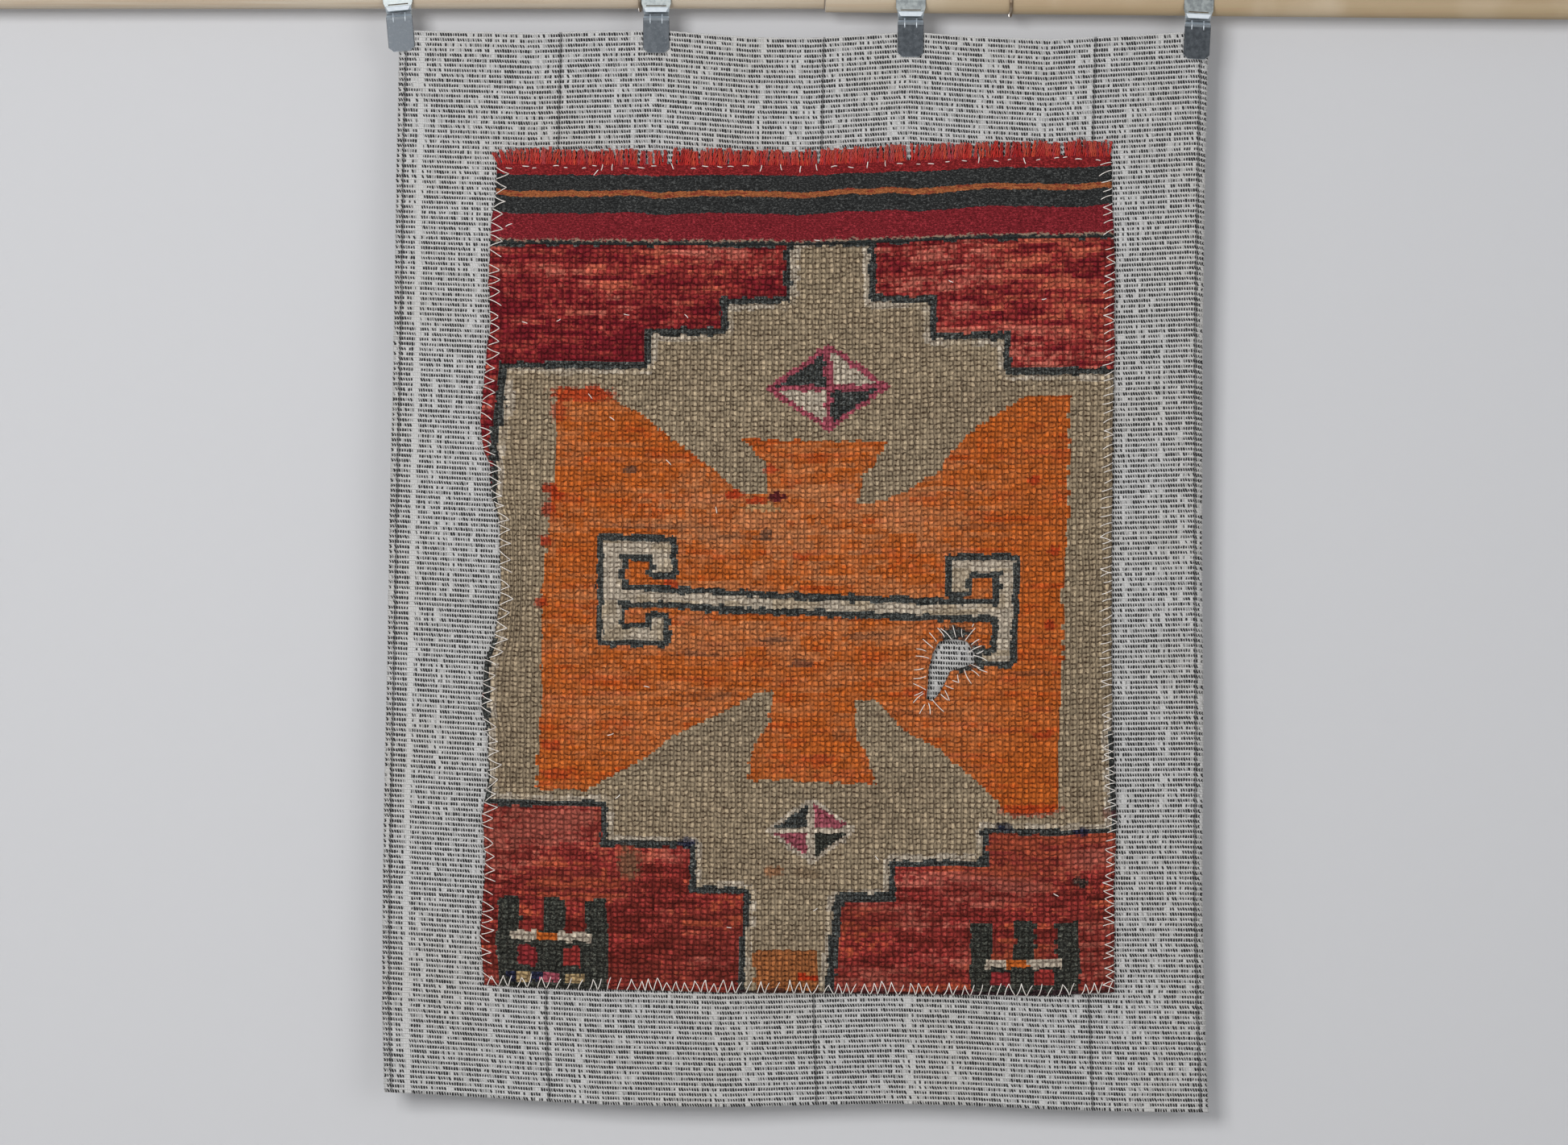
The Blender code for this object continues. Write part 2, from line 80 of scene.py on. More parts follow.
# Stitches round the hole: pixel of the photo where each starts, and where it ends
HOLE_STITCHES = [
    (1181, 794, 1166, 779), (1172, 791, 1163, 779), (1186, 791, 1182, 776), (1194, 791, 1193, 780),
    (1197, 795, 1210, 779), (1206, 778, 1208, 774), (1205, 800, 1215, 793), (1201, 810, 1218, 801),
    (1211, 811, 1220, 807), (1207, 813, 1225, 820), (1205, 824, 1217, 829), (1205, 831, 1215, 839),
    (1212, 828, 1225, 834), (1196, 830, 1205, 848), (1188, 837, 1190, 847), (1181, 844, 1190, 847),
    (1172, 850, 1184, 855), (1172, 856, 1178, 869), (1167, 861, 1177, 869), (1156, 867, 1171, 883),
    (1152, 872, 1154, 886), (1148, 873, 1140, 887), (1146, 860, 1133, 872), (1145, 858, 1134, 863),
    (1149, 856, 1133, 848), (1149, 839, 1133, 842), (1146, 829, 1134, 831), (1153, 817, 1136, 814),
    (1149, 808, 1137, 805), (1158, 804, 1145, 793), (1162, 796, 1153, 785)]

# Short catch stitches that show here and there on the face: pixel of the photo, length and turn
CATCHES = [
    (652, 401, 7, 0.3), (694, 398, 6, -0.5), (778, 391, 7, 0.2), (852, 393, 6, 0.8), (733, 492, 8, 0.9),
    (760, 520, 7, 0.6), (830, 574, 9, 0.8), (889, 633, 8, 1.4), (758, 911, 8, -0.3), (803, 852, 7, 0.2),
    (767, 988, 8, -0.7), (632, 280, 9, -0.4), (740, 215, 9, -0.9), (1014, 298, 7, 0.1), (1180, 350, 6, 0.4),
    (1295, 372, 6, -0.2), (1088, 1064, 7, 0.9), (905, 1150, 6, 0.1), (1012, 1128, 6, -0.6),
    (1310, 1110, 7, 0.5)]

# How the cloth hangs, in metres
CLIP_ACROSS = (-0.3650, -0.1205, 0.1197, 0.3915)
BACKING_FRONT_Y = -0.0124
BACKING_THICKNESS = 0.0020
BELLY_DEPTH = 0.005
WAVE_FADE = 0.26

# Shallow folds: depth, width, phase, and turn for each metre down
FOLDS = [(0.0016, 0.33, 0.8, 0), (0.0012, 0.52, 0, 5)]

# How the rug lies on it, in metres
RUG_GAP = 0.0008
PILE_THICKNESS = 0.0056
FLAT_THICKNESS = 0.0026

# The rug's upright frame in millimetres, which its outline leaves near the sides, and the flat end's share
RUG_DOWN = 170
RUG_HIGH = 780
LEFT_SIDE = -274
LEFT_LEAN = -10
RIGHT_SIDE = 308.5
RIGHT_LEAN = 3
PILE_SHARE = 0.0985

# Knots of the pile: counts, millimetres, and relief in metres
COLUMNS = 92
ROWS = 147
KNOT_WIDE = 6.4
KNOT_HIGH = 4.8
EDGE_KNOTS = 6.0
PILE_DOWN = 250
PILE_LEFT = -279
LOWER_HALF = 95
KNOT_RELIEF = 0.0011
FLAT_COLUMNS = 184
FLAT_ROWS = 38

# Weave of the backing
BACKING_ROWS = 209
BACKING_COLUMNS = 90
TICKS_ACROSS = 322
DARK_WARPS = (0.009, 0.200, 0.525, 0.860, 0.991)
PALE_WARP = 0.029
TICK_MIDDLE = 0.66
WEFT_RIDGE = 0.00045


def linear(rgb):
    """Linear colour of an sRGB colour given as 0 to 255."""
    share = np.asarray(rgb, float) / 255
    return np.where(share <= 0.04045, share / 12.92, ((share + 0.055) / 1.055) ** 2.4)


def dye(rgb):
    return (*linear(rgb).tolist(), 1.0)


# Yarn colours, as light as they look in soft daylight
CHARCOAL = linear((50, 52, 51))
CREAM = linear((170, 158, 141))
BEIGE = linear((150, 134, 110))
BEIGE_DARK = linear((138, 122, 100))
ORANGE = linear((169, 85, 32))
ORANGE_DARK = linear((166, 66, 22))
ORANGE_TAN = linear((178, 130, 92))
CRIMSON = linear((103, 23, 30))
RUSSET = linear((98, 33, 27))
MADDER = linear((136, 47, 43))
EMBER = linear((176, 82, 54))
BRICK = linear((174, 94, 80))
DEEP_RED = linear((104, 44, 34))
OCHRE = linear((147, 90, 52))
PINK = linear((148, 72, 84))
ROSE = linear((148, 78, 88))
COMB_DARK = linear((43, 44, 40))
COMB_RED = linear((124, 40, 42))
FLAME = linear((158, 50, 22))
MAROON = linear((84, 26, 34))
WEAR = linear((84, 62, 50))
STAIN = linear((104, 82, 60))
HOLE_RIM = linear((70, 58, 50))
SAND = linear((150, 128, 92))
NAVY = linear((27, 29, 46))
BOTTOM_ROW_DARK = linear((42, 24, 30))
KILIM_RED = (104, 26, 32)
KILIM_TOP_RED = (108, 26, 28)
KILIM_DARK = (35, 36, 36)
KILIM_ORANGE = (136, 78, 46)


# Smooth random values on a lattice
def noise(x, y, seed):
    x, y = np.broadcast_arrays(np.asarray(x, float), np.asarray(y, float))
    x0, y0 = np.floor(x).astype(np.int64), np.floor(y).astype(np.int64)
    fx, fy = x - x0, y - y0
    fx, fy = fx * fx * (3 - 2 * fx), fy * fy * (3 - 2 * fy)
    low = hashed(x0, y0, seed) * (1 - fx) + hashed(x0 + 1, y0, seed) * fx
    high = hashed(x0, y0 + 1, seed) * (1 - fx) + hashed(x0 + 1, y0 + 1, seed) * fx
    return low * (1 - fy) + high * fy


def hashed(x, y, seed):
    """A repeatable value from 0 to 1 for whole numbers x and y."""
    value = np.asarray(x, np.int64) * 73856093 ^ np.asarray(y, np.int64) * 19349663 ^ seed * 83492791
    value = (value ^ (value >> 13)) * 1274126177 & 0x7FFFFFFF
    value = (value ^ (value >> 16)) * 668265263 & 0x7FFFFFFF
    return (value ^ (value >> 15) & 0x7FFF) % 100003 / 100003.0


def smooth(low, high, value):
    share = np.clip((value - low) / (high - low), 0, 1)
    return share * share * (3 - 2 * share)


def mixed(a, b, share):
    share = np.asarray(share)[..., None]
    return a * (1 - share) + b * share


# The hanging surface
def cloth_front(across, down):
    """Depth of the backing's front face."""
    fade = np.exp(-(down - 0.05) / WAVE_FADE)
    belly = np.zeros(np.broadcast(across, down).shape)
    for index, (low, high) in enumerate(zip(CLIP_ACROSS, CLIP_ACROSS[1:])):
        depth = BELLY_DEPTH if index % 2 else -BELLY_DEPTH
        between = (across >= low) & (across <= high)
        belly += np.where(between, depth * np.sin(math.pi * (across - low) / (high - low)) ** 2, 0)
    settle = 1 - np.exp(-np.maximum(0.0, down - 0.085) / 0.12)
    corner = -0.008 * np.exp(-((across + 0.376) / 0.05) ** 2 - ((down - 1.05) / 0.06) ** 2)
    edge = -0.0025 * settle * np.exp(-((across - 0.40) / 0.03) ** 2) * np.sin(9.0 * down)
    front = BACKING_FRONT_Y + belly * fade + corner + edge
    for depth, width, phase, turn in FOLDS:
        front = front + depth * settle * np.sin(2 * math.pi * across / width + phase + turn * down)
    return front


def curve_at(table, share):
    points = np.array(table) * MM
    steps = np.hypot(*np.diff(points, axis=0).T)
    run = np.concatenate(([0.0], np.cumsum(steps))) / steps.sum()
    return np.stack([np.interp(share, run, points[:, 0]), np.interp(share, run, points[:, 1])], -1)


def hang(across, down, behind):
    """Points at places on the cloth, a depth behind its front face."""
    return np.stack([across, cloth_front(across, down) + behind, -down], -1)


def backing_place(u, v):
    """Across and down of a share u across and v down the backing."""
    top, bottom = curve_at(BACKING_TOP, u), curve_at(BACKING_BOTTOM, u)
    left, right = curve_at(BACKING_LEFT, v), curve_at(BACKING_RIGHT, v)
    u, v = u[..., None], v[..., None]
    ends = [curve_at(table, end) for table in (BACKING_TOP, BACKING_BOTTOM) for end in (0.0, 1.0)]
    upper, lower = ends[0] * (1 - u) + ends[1] * u, ends[2] * (1 - u) + ends[3] * u
    place = top * (1 - v) + bottom * v + left * (1 - u) + right * u - upper * (1 - v) - lower * v
    return place[..., 0], place[..., 1]


def near_edge(knots):
    return smooth(0, 1, 1 - knots / EDGE_KNOTS)


def side_at(outline, down):
    """How far across one of the rug's sides lies, in millimetres."""
    return np.interp(down, [point[1] for point in outline], [point[0] for point in outline])


def end_at(outline, across):
    """How far down the rug's top or bottom lies, in millimetres."""
    return np.interp(across, *np.array(outline).T)


def rug_place(column, share):
    """Across and down, in metres, of a knot column and a share of the rug's height."""
    down = RUG_DOWN + RUG_HIGH * share
    left, right = LEFT_SIDE + LEFT_LEAN * share, RIGHT_SIDE + RIGHT_LEAN * share
    across = left + (right - left) * column / COLUMNS
    across = across + (side_at(RUG_LEFT, down) - left) * near_edge(column)
    across = across + (side_at(RUG_RIGHT, down) - right) * near_edge(COLUMNS - column)
    top, bottom = end_at(RUG_TOP, across), end_at(RUG_BOTTOM, across)
    return across * MM, (top + share * (bottom - top)) * MM


def pile_share(row):
    return PILE_SHARE + (1 - PILE_SHARE) * row / ROWS


# Meshes
def marks(count, phases):
    """Each whole number below a count with its phases added, and then the count."""
    return np.append(np.arange(count)[:, None] + np.array(phases), count)


def new_object(name, verts, faces):
    mesh = bpy.data.meshes.new(name)
    mesh.from_pydata([tuple(v) for v in verts], [], faces)
    item = bpy.data.objects.new(name, mesh)
    bpy.context.scene.collection.objects.link(item)
    return item


def new_piece(name, verts, faces, material):
    piece = new_object(name, verts, faces)
    piece.data.shade_smooth()
    piece.data.materials.append(material)
    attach(piece, "root")
    return piece


def closed_sheet(front, back):
    """Points and faces of a sheet with a fine front grid and a coarser back grid, joined round the rim."""
    f = np.arange(front.shape[0] * front.shape[1]).reshape(front.shape[:2])
    b = np.arange(back.shape[0] * back.shape[1]).reshape(back.shape[:2]) + f.size
    faces = np.stack([f[:-1, :-1], f[1:, :-1], f[1:, 1:], f[:-1, 1:]], -1).reshape(-1, 4).tolist()
    faces += np.stack([b[:-1, :-1], b[:-1, 1:], b[1:, 1:], b[1:, :-1]], -1).reshape(-1, 4).tolist()
    # The first of each pair of edges is joined along its points, and the second against them
    for fronts, backs in ((f[[0, -1]], b[[0, -1]]), (f.T[[-1, 0]], b.T[[-1, 0]])):
        step = (fronts.shape[1] - 1) // (backs.shape[1] - 1)
        for k in range(backs.shape[1] - 1):
            fine = fronts[:, k * step:(k + 1) * step + 1]
            faces.append(np.r_[fine[0], backs[0, k + 1], backs[0, k]].tolist())
            faces.append(np.r_[fine[1, ::-1], backs[1, k], backs[1, k + 1]].tolist())
    return np.concatenate([front.reshape(-1, 3), back.reshape(-1, 3)]), faces


def add_vectors(piece, name, values):
    layer = piece.data.attributes.new(name, "FLOAT_VECTOR", "POINT")
    layer.data.foreach_set("vector", np.ascontiguousarray(values, np.float32).ravel())


def add_colours(piece, name, face_colours):
    """One colour a face, given to each of its corners."""
    mesh = piece.data
    counts = np.zeros(len(mesh.polygons), np.int32)
    mesh.polygons.foreach_get("loop_total", counts)
    colours = np.ones((len(mesh.loops), 4), np.float32)
    colours[:, :3] = np.repeat(face_colours, counts, axis=0)
    layer = mesh.color_attributes.new(name, "FLOAT_COLOR", "CORNER")
    layer.data.foreach_set("color", colours.ravel())


def tubes(paths, radius, sides, taper=1.0):
    """Points and faces of closed round threads along paths of points."""
    verts, faces = [], []
    for path in paths:
        path = np.asarray(path, float)
        along = np.gradient(path, axis=0)
        along /= np.linalg.norm(along, axis=1)[:, None] + 1e-12
        side = np.cross(along, (0.31, 0.83, 0.46))
        side /= np.linalg.norm(side, axis=1)[:, None] + 1e-12
        other = np.cross(along, side)
        first, last = len(verts), len(path) - 1
        for index, point in enumerate(path):
            size = radius * (1 + (taper - 1) * index / last)
            for k in range(sides):
                angle = 2 * math.pi * k / sides
                verts.append(point + size * (math.cos(angle) * side[index] + math.sin(angle) * other[index]))
        for index in range(last):
            for k in range(sides):
                a, b = first + index * sides + k, first + index * sides + (k + 1) % sides
                faces.append([a, b, b + sides, a + sides])
        faces.append([first + k for k in reversed(range(sides))])
        faces.append([first + last * sides + k for k in range(sides)])
    return verts, faces


# Node trees
class Tree:
    """The nodes of a material, each added by a call that gives its output."""

    def __init__(self, name):
        self.material = bpy.data.materials.new(name)
        self.material.use_nodes = True
        self.nodes = self.material.node_tree.nodes
        self.links = self.material.node_tree.links
        self.shader = self.nodes["Principled BSDF"]
        self.place = self.node("TexCoord")["Object"]

    def put(self, socket, value):
        if isinstance(value, bpy.types.NodeSocket):
            self.links.new(value, socket)
        else:
            socket.default_value = value

    def node(self, kind, inputs=(), **settings):
        """Adds a node with its inputs, by name or number, and gives its outputs."""
        node = self.nodes.new("ShaderNode" + kind)
        for name, value in settings.items():
            setattr(node, name, value)
        for socket, value in dict(inputs).items():
            self.put(node.inputs[socket], value)
        return node.outputs

    def math(self, operation, *values, clamp=False):
        return self.node("Math", enumerate(values), operation=operation, use_clamp=clamp)[0]

    def plus(self, total, *others):
        for other in others:
            total = self.math("ADD", total, other)
        return total

    def times(self, product, *others):
        for other in others:
            product = self.math("MULTIPLY", product, other)
        return product

    def minus(self, a, b):
        return self.math("SUBTRACT", a, b)

    def away(self, a, b):
        return self.math("ABSOLUTE", self.minus(a, b))

    def floor(self, value):
        return self.math("FLOOR", value)

    def fract(self, value):
        return self.math("FRACT", value)

    def step(self, low, high, value, start=0.0, end=1.0):
        inputs = {"Value": value, "From Min": low, "From Max": high, "To Min": start, "To Max": end}
        return self.node("MapRange", inputs, interpolation_type="SMOOTHSTEP")["Result"]

    def mix(self, share, a, b, kind="MIX"):
        return self.node("Mix", {0: share, 6: a, 7: b}, data_type="RGBA", blend_type=kind)[2]

    def tinted(self, share, colour, rgb):
        """A colour with a share of itself multiplied by another."""
        return self.mix(share, colour, self.mix(1.0, colour, (*rgb, 1.0), "MULTIPLY"))

    def attribute(self, name):
        return self.node("Attribute", attribute_name=name)

    def split(self, vector):
        return self.node("SeparateXYZ", {0: vector})

    def join(self, *values):
        return self.node("CombineXYZ", enumerate(values))[0]

    def cloud(self, vector, scale=1.0, detail=2.0, rough=0.5):
        inputs = {"Vector": vector, "Scale": scale, "Detail": detail, "Roughness": rough}
        return self.node("TexNoise", inputs)["Fac"]

    def grain(self, scale, detail, rough=0.5):
        """A cloud in the object's own place, with a scale for each axis."""
        place = self.node("VectorMath", {0: self.place, 1: scale}, operation="MULTIPLY")[0]
        return self.cloud(place, 1.0, detail, rough)

    def cells(self, vector, feature):
        inputs = {"Vector": vector, "Scale": 1.0, "Randomness": 0.30}
        return self.node("TexVoronoi", inputs, voronoi_dimensions="2D", feature=feature)

    def white(self, vector):
        return self.node("TexWhiteNoise", {"Vector": vector})["Value"]

    def finish(self, colour, roughness, height=None, distance=0.0, strength=1.0, **fixed):
        """Fills the shader's sockets, with a bump where a height is given, and gives the material."""
        inputs = {"Base Color": colour, "Roughness": roughness, **fixed}
        if height is not None:
            bump = {"Strength": strength, "Distance": distance, "Height": height}
            inputs["Normal"] = self.node("Bump", bump)[0]
        for name, value in inputs.items():
            self.put(self.shader.inputs[name.replace("_", " ")], value)
        return self.material


def backing_material():
    t = Tree("flecked_backing")
    weave = t.split(t.attribute("weave")["Vector"])
    wobble = t.minus(t.cloud(t.place, 300.0, 2.0), 0.5)
    row_place = t.plus(weave[1], t.times(wobble, 0.30))
    row = t.floor(row_place)
    phase = t.fract(row_place)
    lean = t.cloud(t.join(t.times(weave[0], 0.21), t.times(row, 0.7)), 1.0)
    lean = t.step(0.30, 0.70, lean, -0.15, 0.85)
    leaned = t.times(lean, t.minus(phase, TICK_MIDDLE))
    tick_place = t.minus(t.plus(weave[0], t.times(wobble, 0.5)), leaned)
    tick = t.floor(tick_place)
    across = t.fract(tick_place)
    run = t.floor(t.plus(t.times(row, 0.30), t.times(t.white(t.join(tick, 5.0)), 9.0)))
    kept = t.white(t.join(tick, run, 2.0))
    chance = t.white(t.join(tick, row))
    columns = t.cloud(t.join(t.times(weave[0], 0.26), t.times(weave[1], 0.012), 7.0), 1.0, 2.0)
    amount = t.plus(t.times(kept, 0.30), t.times(chance, 0.42), t.times(t.minus(columns, 0.42), 0.85))
    for share in DARK_WARPS:
        away = t.away(tick_place, share * TICKS_ACROSS)
        amount = t.plus(amount, t.step(1.1, 0.5, away, 0.0, 0.7))
        warp = away if share == DARK_WARPS[0] else t.math("MINIMUM", warp, away)
    away = t.away(tick_place, PALE_WARP * TICKS_ACROSS)
    amount = t.minus(amount, t.step(1.4, 0.7, away, 0.0, 0.45))
    black = t.step(0.10, 0.40, amount)
    half = t.away(across, 0.5)
    middle = t.away(phase, TICK_MIDDLE)
    size = t.times(t.white(t.join(row, tick, 9.0)), 0.13)
    grown = t.plus(half, size, t.times(t.math("POWER", middle, 2.0), 1.3))
    body = t.step(0.50, 0.37, grown)
    band = t.step(0.37, 0.29, t.plus(middle, t.times(size, 0.5)))
    ink = t.times(body, band, black)
    fibre = t.grain((900, 900, 2600), 3.0)
    thread = t.mix(fibre, dye((156, 155, 153)), dye((222, 221, 220)))
    # Painted shade: the thread is darkened between the ticks, along the edges of each weft ridge and over the
    # tick band. The soil is real dirt.
    between_tick_shade = t.times(t.step(0.28, 0.50, half), t.step(0.0, 1.0, band, 0.34, 0.12))
    ridge_edge_shade = t.times(t.step(0.26, 0.34, middle), t.step(0.44, 0.36, middle), 0.42)
    soil = t.step(0.35, 0.75, t.cloud(t.place, 9.0, 4.0), 0.0, 0.30)
    shades = [(between_tick_shade, (96, 95, 93)), (ridge_edge_shade, (110, 109, 107)), (t.times(band, 0.16), (120, 119, 117)),
              (soil, (176, 171, 162))]
    for share, rgb in shades:
        thread = t.mix(share, thread, dye(rgb))
    dark = t.mix(fibre, dye((20, 20, 21)), dye((48, 48, 49)))
    thread = t.mix(t.step(0.75, 0.35, warp, 0.0, 0.55), thread, dark)
    colour = t.mix(ink, thread, dark)
    height = t.plus(t.times(body, band, 0.5), t.step(0.34, 0.46, middle), t.times(fibre, 0.25))
    return t.finish(colour, 0.95, height, 0.0006, 0.8, Specular_IOR_Level=0.15)


def pile_material():
    t = Tree("knotted_wool")
    knot = t.split(t.attribute("knot")["Vector"])
    wobble = t.minus(t.cloud(t.place, 300.0, 1.0), 0.5)
    sway = t.minus(t.cloud(t.join(knot[0], knot[1], 4.0), 0.6, 1.0), 0.5)
    column = t.plus(knot[0], t.times(wobble, 0.22))
    row = t.plus(knot[1], t.plus(t.times(wobble, 0.25), t.times(sway, 0.5)))
    cells = t.join(column, row)
    edge = t.cells(cells, "DISTANCE_TO_EDGE")["Distance"]
    body = t.cells(cells, "F1")
    cell_tone = t.split(body["Color"])
    strong = t.step(0.32, 0.66, t.cloud(t.join(knot[0], knot[1], 9.0), 0.55, 2.0), 0.50, 1.0)
    # Painted shade: the creases round each knot cell and the gaps between columns are darkened, and the same
    # mask sinks the bump.
    side = t.away(t.fract(column), 0.5)
    gap = t.times(t.step(0.33, 0.47, side), knot[2])
    crease_shade = t.times(t.step(0.18, 0.04, edge), t.times(strong, t.step(0.2, 0.9, knot[2], 0.62, 1.0)))
    shade = t.math("ADD", t.times(crease_shade, 0.72), t.times(gap, 0.45), clamp=True)
    colour = t.attribute("dye")["Color"]
    fibre = t.grain((1300, 1300, 2000), 2.0, 0.6)
    tuft = t.cloud(t.place, 480.0, 2.0)
    tone = t.plus(t.times(cell_tone[0], 0.34), 0.83)
    colour = t.mix(1.0, colour, t.join(tone, tone, tone), "MULTIPLY")
    # Knot tips are paler near each cell's middle: partly wear, partly a painted highlight.
    tip_wear_and_highlight = t.times(t.step(0.40, 0.08, body["Distance"]), t.step(0.36, 0.60, tuft), 0.60)
    red = t.step(0.58, 0.52, knot[2])
    # Painted shade: red knots darken towards each cell's rim, rounding them like beads.
    red_bead_shade = t.times(t.step(0.20, 0.62, body["Distance"]), red, 0.38)
    dim = t.step(0.080, 0.050, t.split(t.attribute("dye")["Color"])[0])
    fleck = t.grain((520, 520, 700), 3.0, 0.75)
    bright = t.times(t.step(0.51, 0.63, fleck), dim)
    dull = t.times(t.step(0.49, 0.40, fleck, 0.0, 0.8), dim)
    tints = [(tip_wear_and_highlight, (1.75, 1.74, 1.72)), (t.step(0.46, 0.66, fibre, 0.0, 0.22), (1.6, 1.6, 1.6)),
             (red_bead_shade, (0.42, 0.34, 0.36)), (bright, (3.6, 3.5, 3.3)), (dull, (0.40, 0.40, 0.42)),
             (shade, (0.14, 0.09, 0.07))]
    for share, tint in tints:
        colour = t.tinted(share, colour, tint)
    height = t.minus(t.minus(t.times(fibre, 0.2), shade), t.times(body["Distance"], 1.2))
    height = t.plus(height, t.times(tuft, 0.3))
    return t.finish(colour, 0.95, height, 0.0018, 1.0, Specular_IOR_Level=0.12)


# Stripes of the flat end: where each starts, as a share of its height, and its colour
STRIPES = [
    (0, KILIM_TOP_RED), (0.137, KILIM_DARK), (0.335, KILIM_ORANGE), (0.405, KILIM_DARK), (0.61, KILIM_RED),
    (0.948, KILIM_DARK)]


def flat_material():
    t = Tree("flat_woven_wool")
    band = t.split(t.attribute("band")["Vector"])
    rough_edge = t.times(t.minus(t.cloud(t.place, 190.0, 3.0, 0.6), 0.5), 0.055)
    rougher = t.step(0.86, 0.92, band[0], 1.0, 2.2)
    level = t.plus(band[0], t.times(rough_edge, rougher))
    ramp = t.nodes.new("ShaderNodeValToRGB")
    ramp.color_ramp.interpolation = "CONSTANT"
    for index, (start, rgb) in enumerate(STRIPES):
        stop = ramp.color_ramp.elements[index] if index < 2 else ramp.color_ramp.elements.new(start)
        stop.position, stop.color = start, dye(rgb)
    t.put(ramp.inputs[0], level)
    colour = ramp.outputs[0]
    fleck = t.grain((430, 430, 760), 3.0, 0.85)
    patch = t.grain((60, 60, 240), 3.0, 0.6)
    dark_band = t.times(t.step(0.13, 0.145, level), t.step(0.62, 0.60, level))
    orange_band = t.times(t.step(0.328, 0.340, level), t.step(0.412, 0.400, level))
    red_bit = t.step(0.52, 0.62, t.grain((95, 95, 420), 3.0, 0.7))
    colour = t.mix(t.times(orange_band, red_bit, 0.75), colour, dye((112, 34, 30)))
    pale = t.mix(dark_band, (2.5, 3.2, 3.0, 1.0), (5.6, 5.4, 5.2, 1.0))
    pale = t.mix(orange_band, pale, (1.7, 1.9, 1.8, 1.0))
    amount = t.times(t.step(0.52, 0.64, fleck), t.step(0.30, 0.62, patch, 0.55, 1.0))
    colour = t.mix(amount, colour, t.mix(1.0, colour, pale, "MULTIPLY"))
    colour = t.tinted(t.step(0.50, 0.38, fleck, 0.0, 0.85), colour, (0.40, 0.36, 0.36))
    bits = t.times(t.step(0.925, 0.940, level), t.step(0.975, 0.955, level))
    bits = t.times(bits, t.step(0.44, 0.56, t.grain((330, 330, 500), 2.0)))
    colour = t.mix(t.times(bits, 0.8), colour, dye((142, 122, 104)))
    rib = t.away(t.fract(band[1]), 0.5)
    line = t.away(t.fract(t.plus(band[2], t.times(rib, 0.8))), 0.5)
    # Painted shade in the grooves between the weft rows.
    shade = t.times(t.step(0.30, 0.5, line), 0.35)
    colour = t.tinted(shade, colour, (0.4, 0.4, 0.4))
    height = t.plus(t.times(fleck, 0.8), t.times(line, -0.9))
    height = t.minus(height, t.times(rib, 0.6))
    return t.finish(colour, 0.93, height, 0.0006, 0.8, Specular_IOR_Level=0.12)


def thread_material():
    t = Tree("sewing_thread")
    broad = t.grain((160, 160, 40), 2.0)
    fine = t.grain((1800, 1800, 900), 3.0, 0.6)
    colour = t.mix(t.step(0.35, 0.65, broad), dye((205, 196, 188)), dye((226, 220, 213)))
    colour = t.mix(t.step(0.50, 0.75, fine, 0.0, 0.7), colour, dye((244, 240, 234)))
    return t.finish(colour, 0.7, fine, 0.0003, 0.7, Specular_IOR_Level=0.15)


def wood_material():
    t = Tree("planed_dowel")
    grain = t.grain((6, 160, 260), 4.0, 0.6)
    streak = t.grain((2, 900, 900), 3.0, 0.7)
    blotch = t.cloud(t.place, 11.0, 3.0)
    side = t.step(-0.1, 0.3, t.split(t.place)[0])
    colour = t.mix(side, dye((180, 168, 151)), dye((156, 137, 106)))
    colour = t.mix(t.step(0.35, 0.75, grain, 0.0, 0.55), colour, dye((160, 134, 106)))
    colour = t.mix(t.step(0.55, 0.8, streak, 0.0, 0.5), colour, dye((128, 100, 74)))
    colour = t.mix(t.step(0.5, 0.8, blotch, 0.0, 0.4), colour, dye((190, 176, 156)))
    height = t.plus(grain, t.times(streak, 0.6))
    return t.finish(colour, t.step(0.3, 0.7, grain, 0.48, 0.66), height, 0.0003, 0.5)


def steel_material(name, low, high, roughness, metallic=0.85):
    """Zinc-plated sheet, faintly mottled, with a painted pale reflection on faces that turn up or down."""
    t = Tree(name)
    grain = t.grain((1500, 1500, 500), 3.0, 0.6)
    spangle = t.cloud(t.place, 260.0, 3.0)
    normal = t.split(t.nodes.new("ShaderNodeNewGeometry").outputs["Normal"])
    bend = t.math("ABSOLUTE", normal[2])
    colour = t.mix(t.step(0.3, 0.7, spangle), dye(low), dye(high))
    colour = t.mix(t.step(0.58, 0.85, grain, 0.0, 0.22), colour, dye((205, 208, 212)))
    # Painted reflection: faces turned up or down are paled towards a bluish white.
    colour = t.mix(t.step(0.10, 0.50, bend, 0.0, 0.8), colour, dye((206, 216, 224)))
    rough = t.plus(roughness, t.times(t.minus(spangle, 0.5), 0.25))
    return t.finish(colour, rough, grain, 0.00008, 0.3, Metallic=metallic)


def wire_material():
    t = Tree("drawn_wire")
    drawn = t.grain((1600, 1600, 60), 3.0)
    tarnish = t.cloud(t.place, 90.0, 3.0)
    colour = t.mix(t.step(0.35, 0.7, tarnish), dye((150, 138, 122)), dye((108, 88, 68)))
    rough = t.step(0.3, 0.7, drawn, 0.30, 0.48)
    return t.finish(colour, rough, drawn, 0.0001, 0.3, Metallic=0.8)


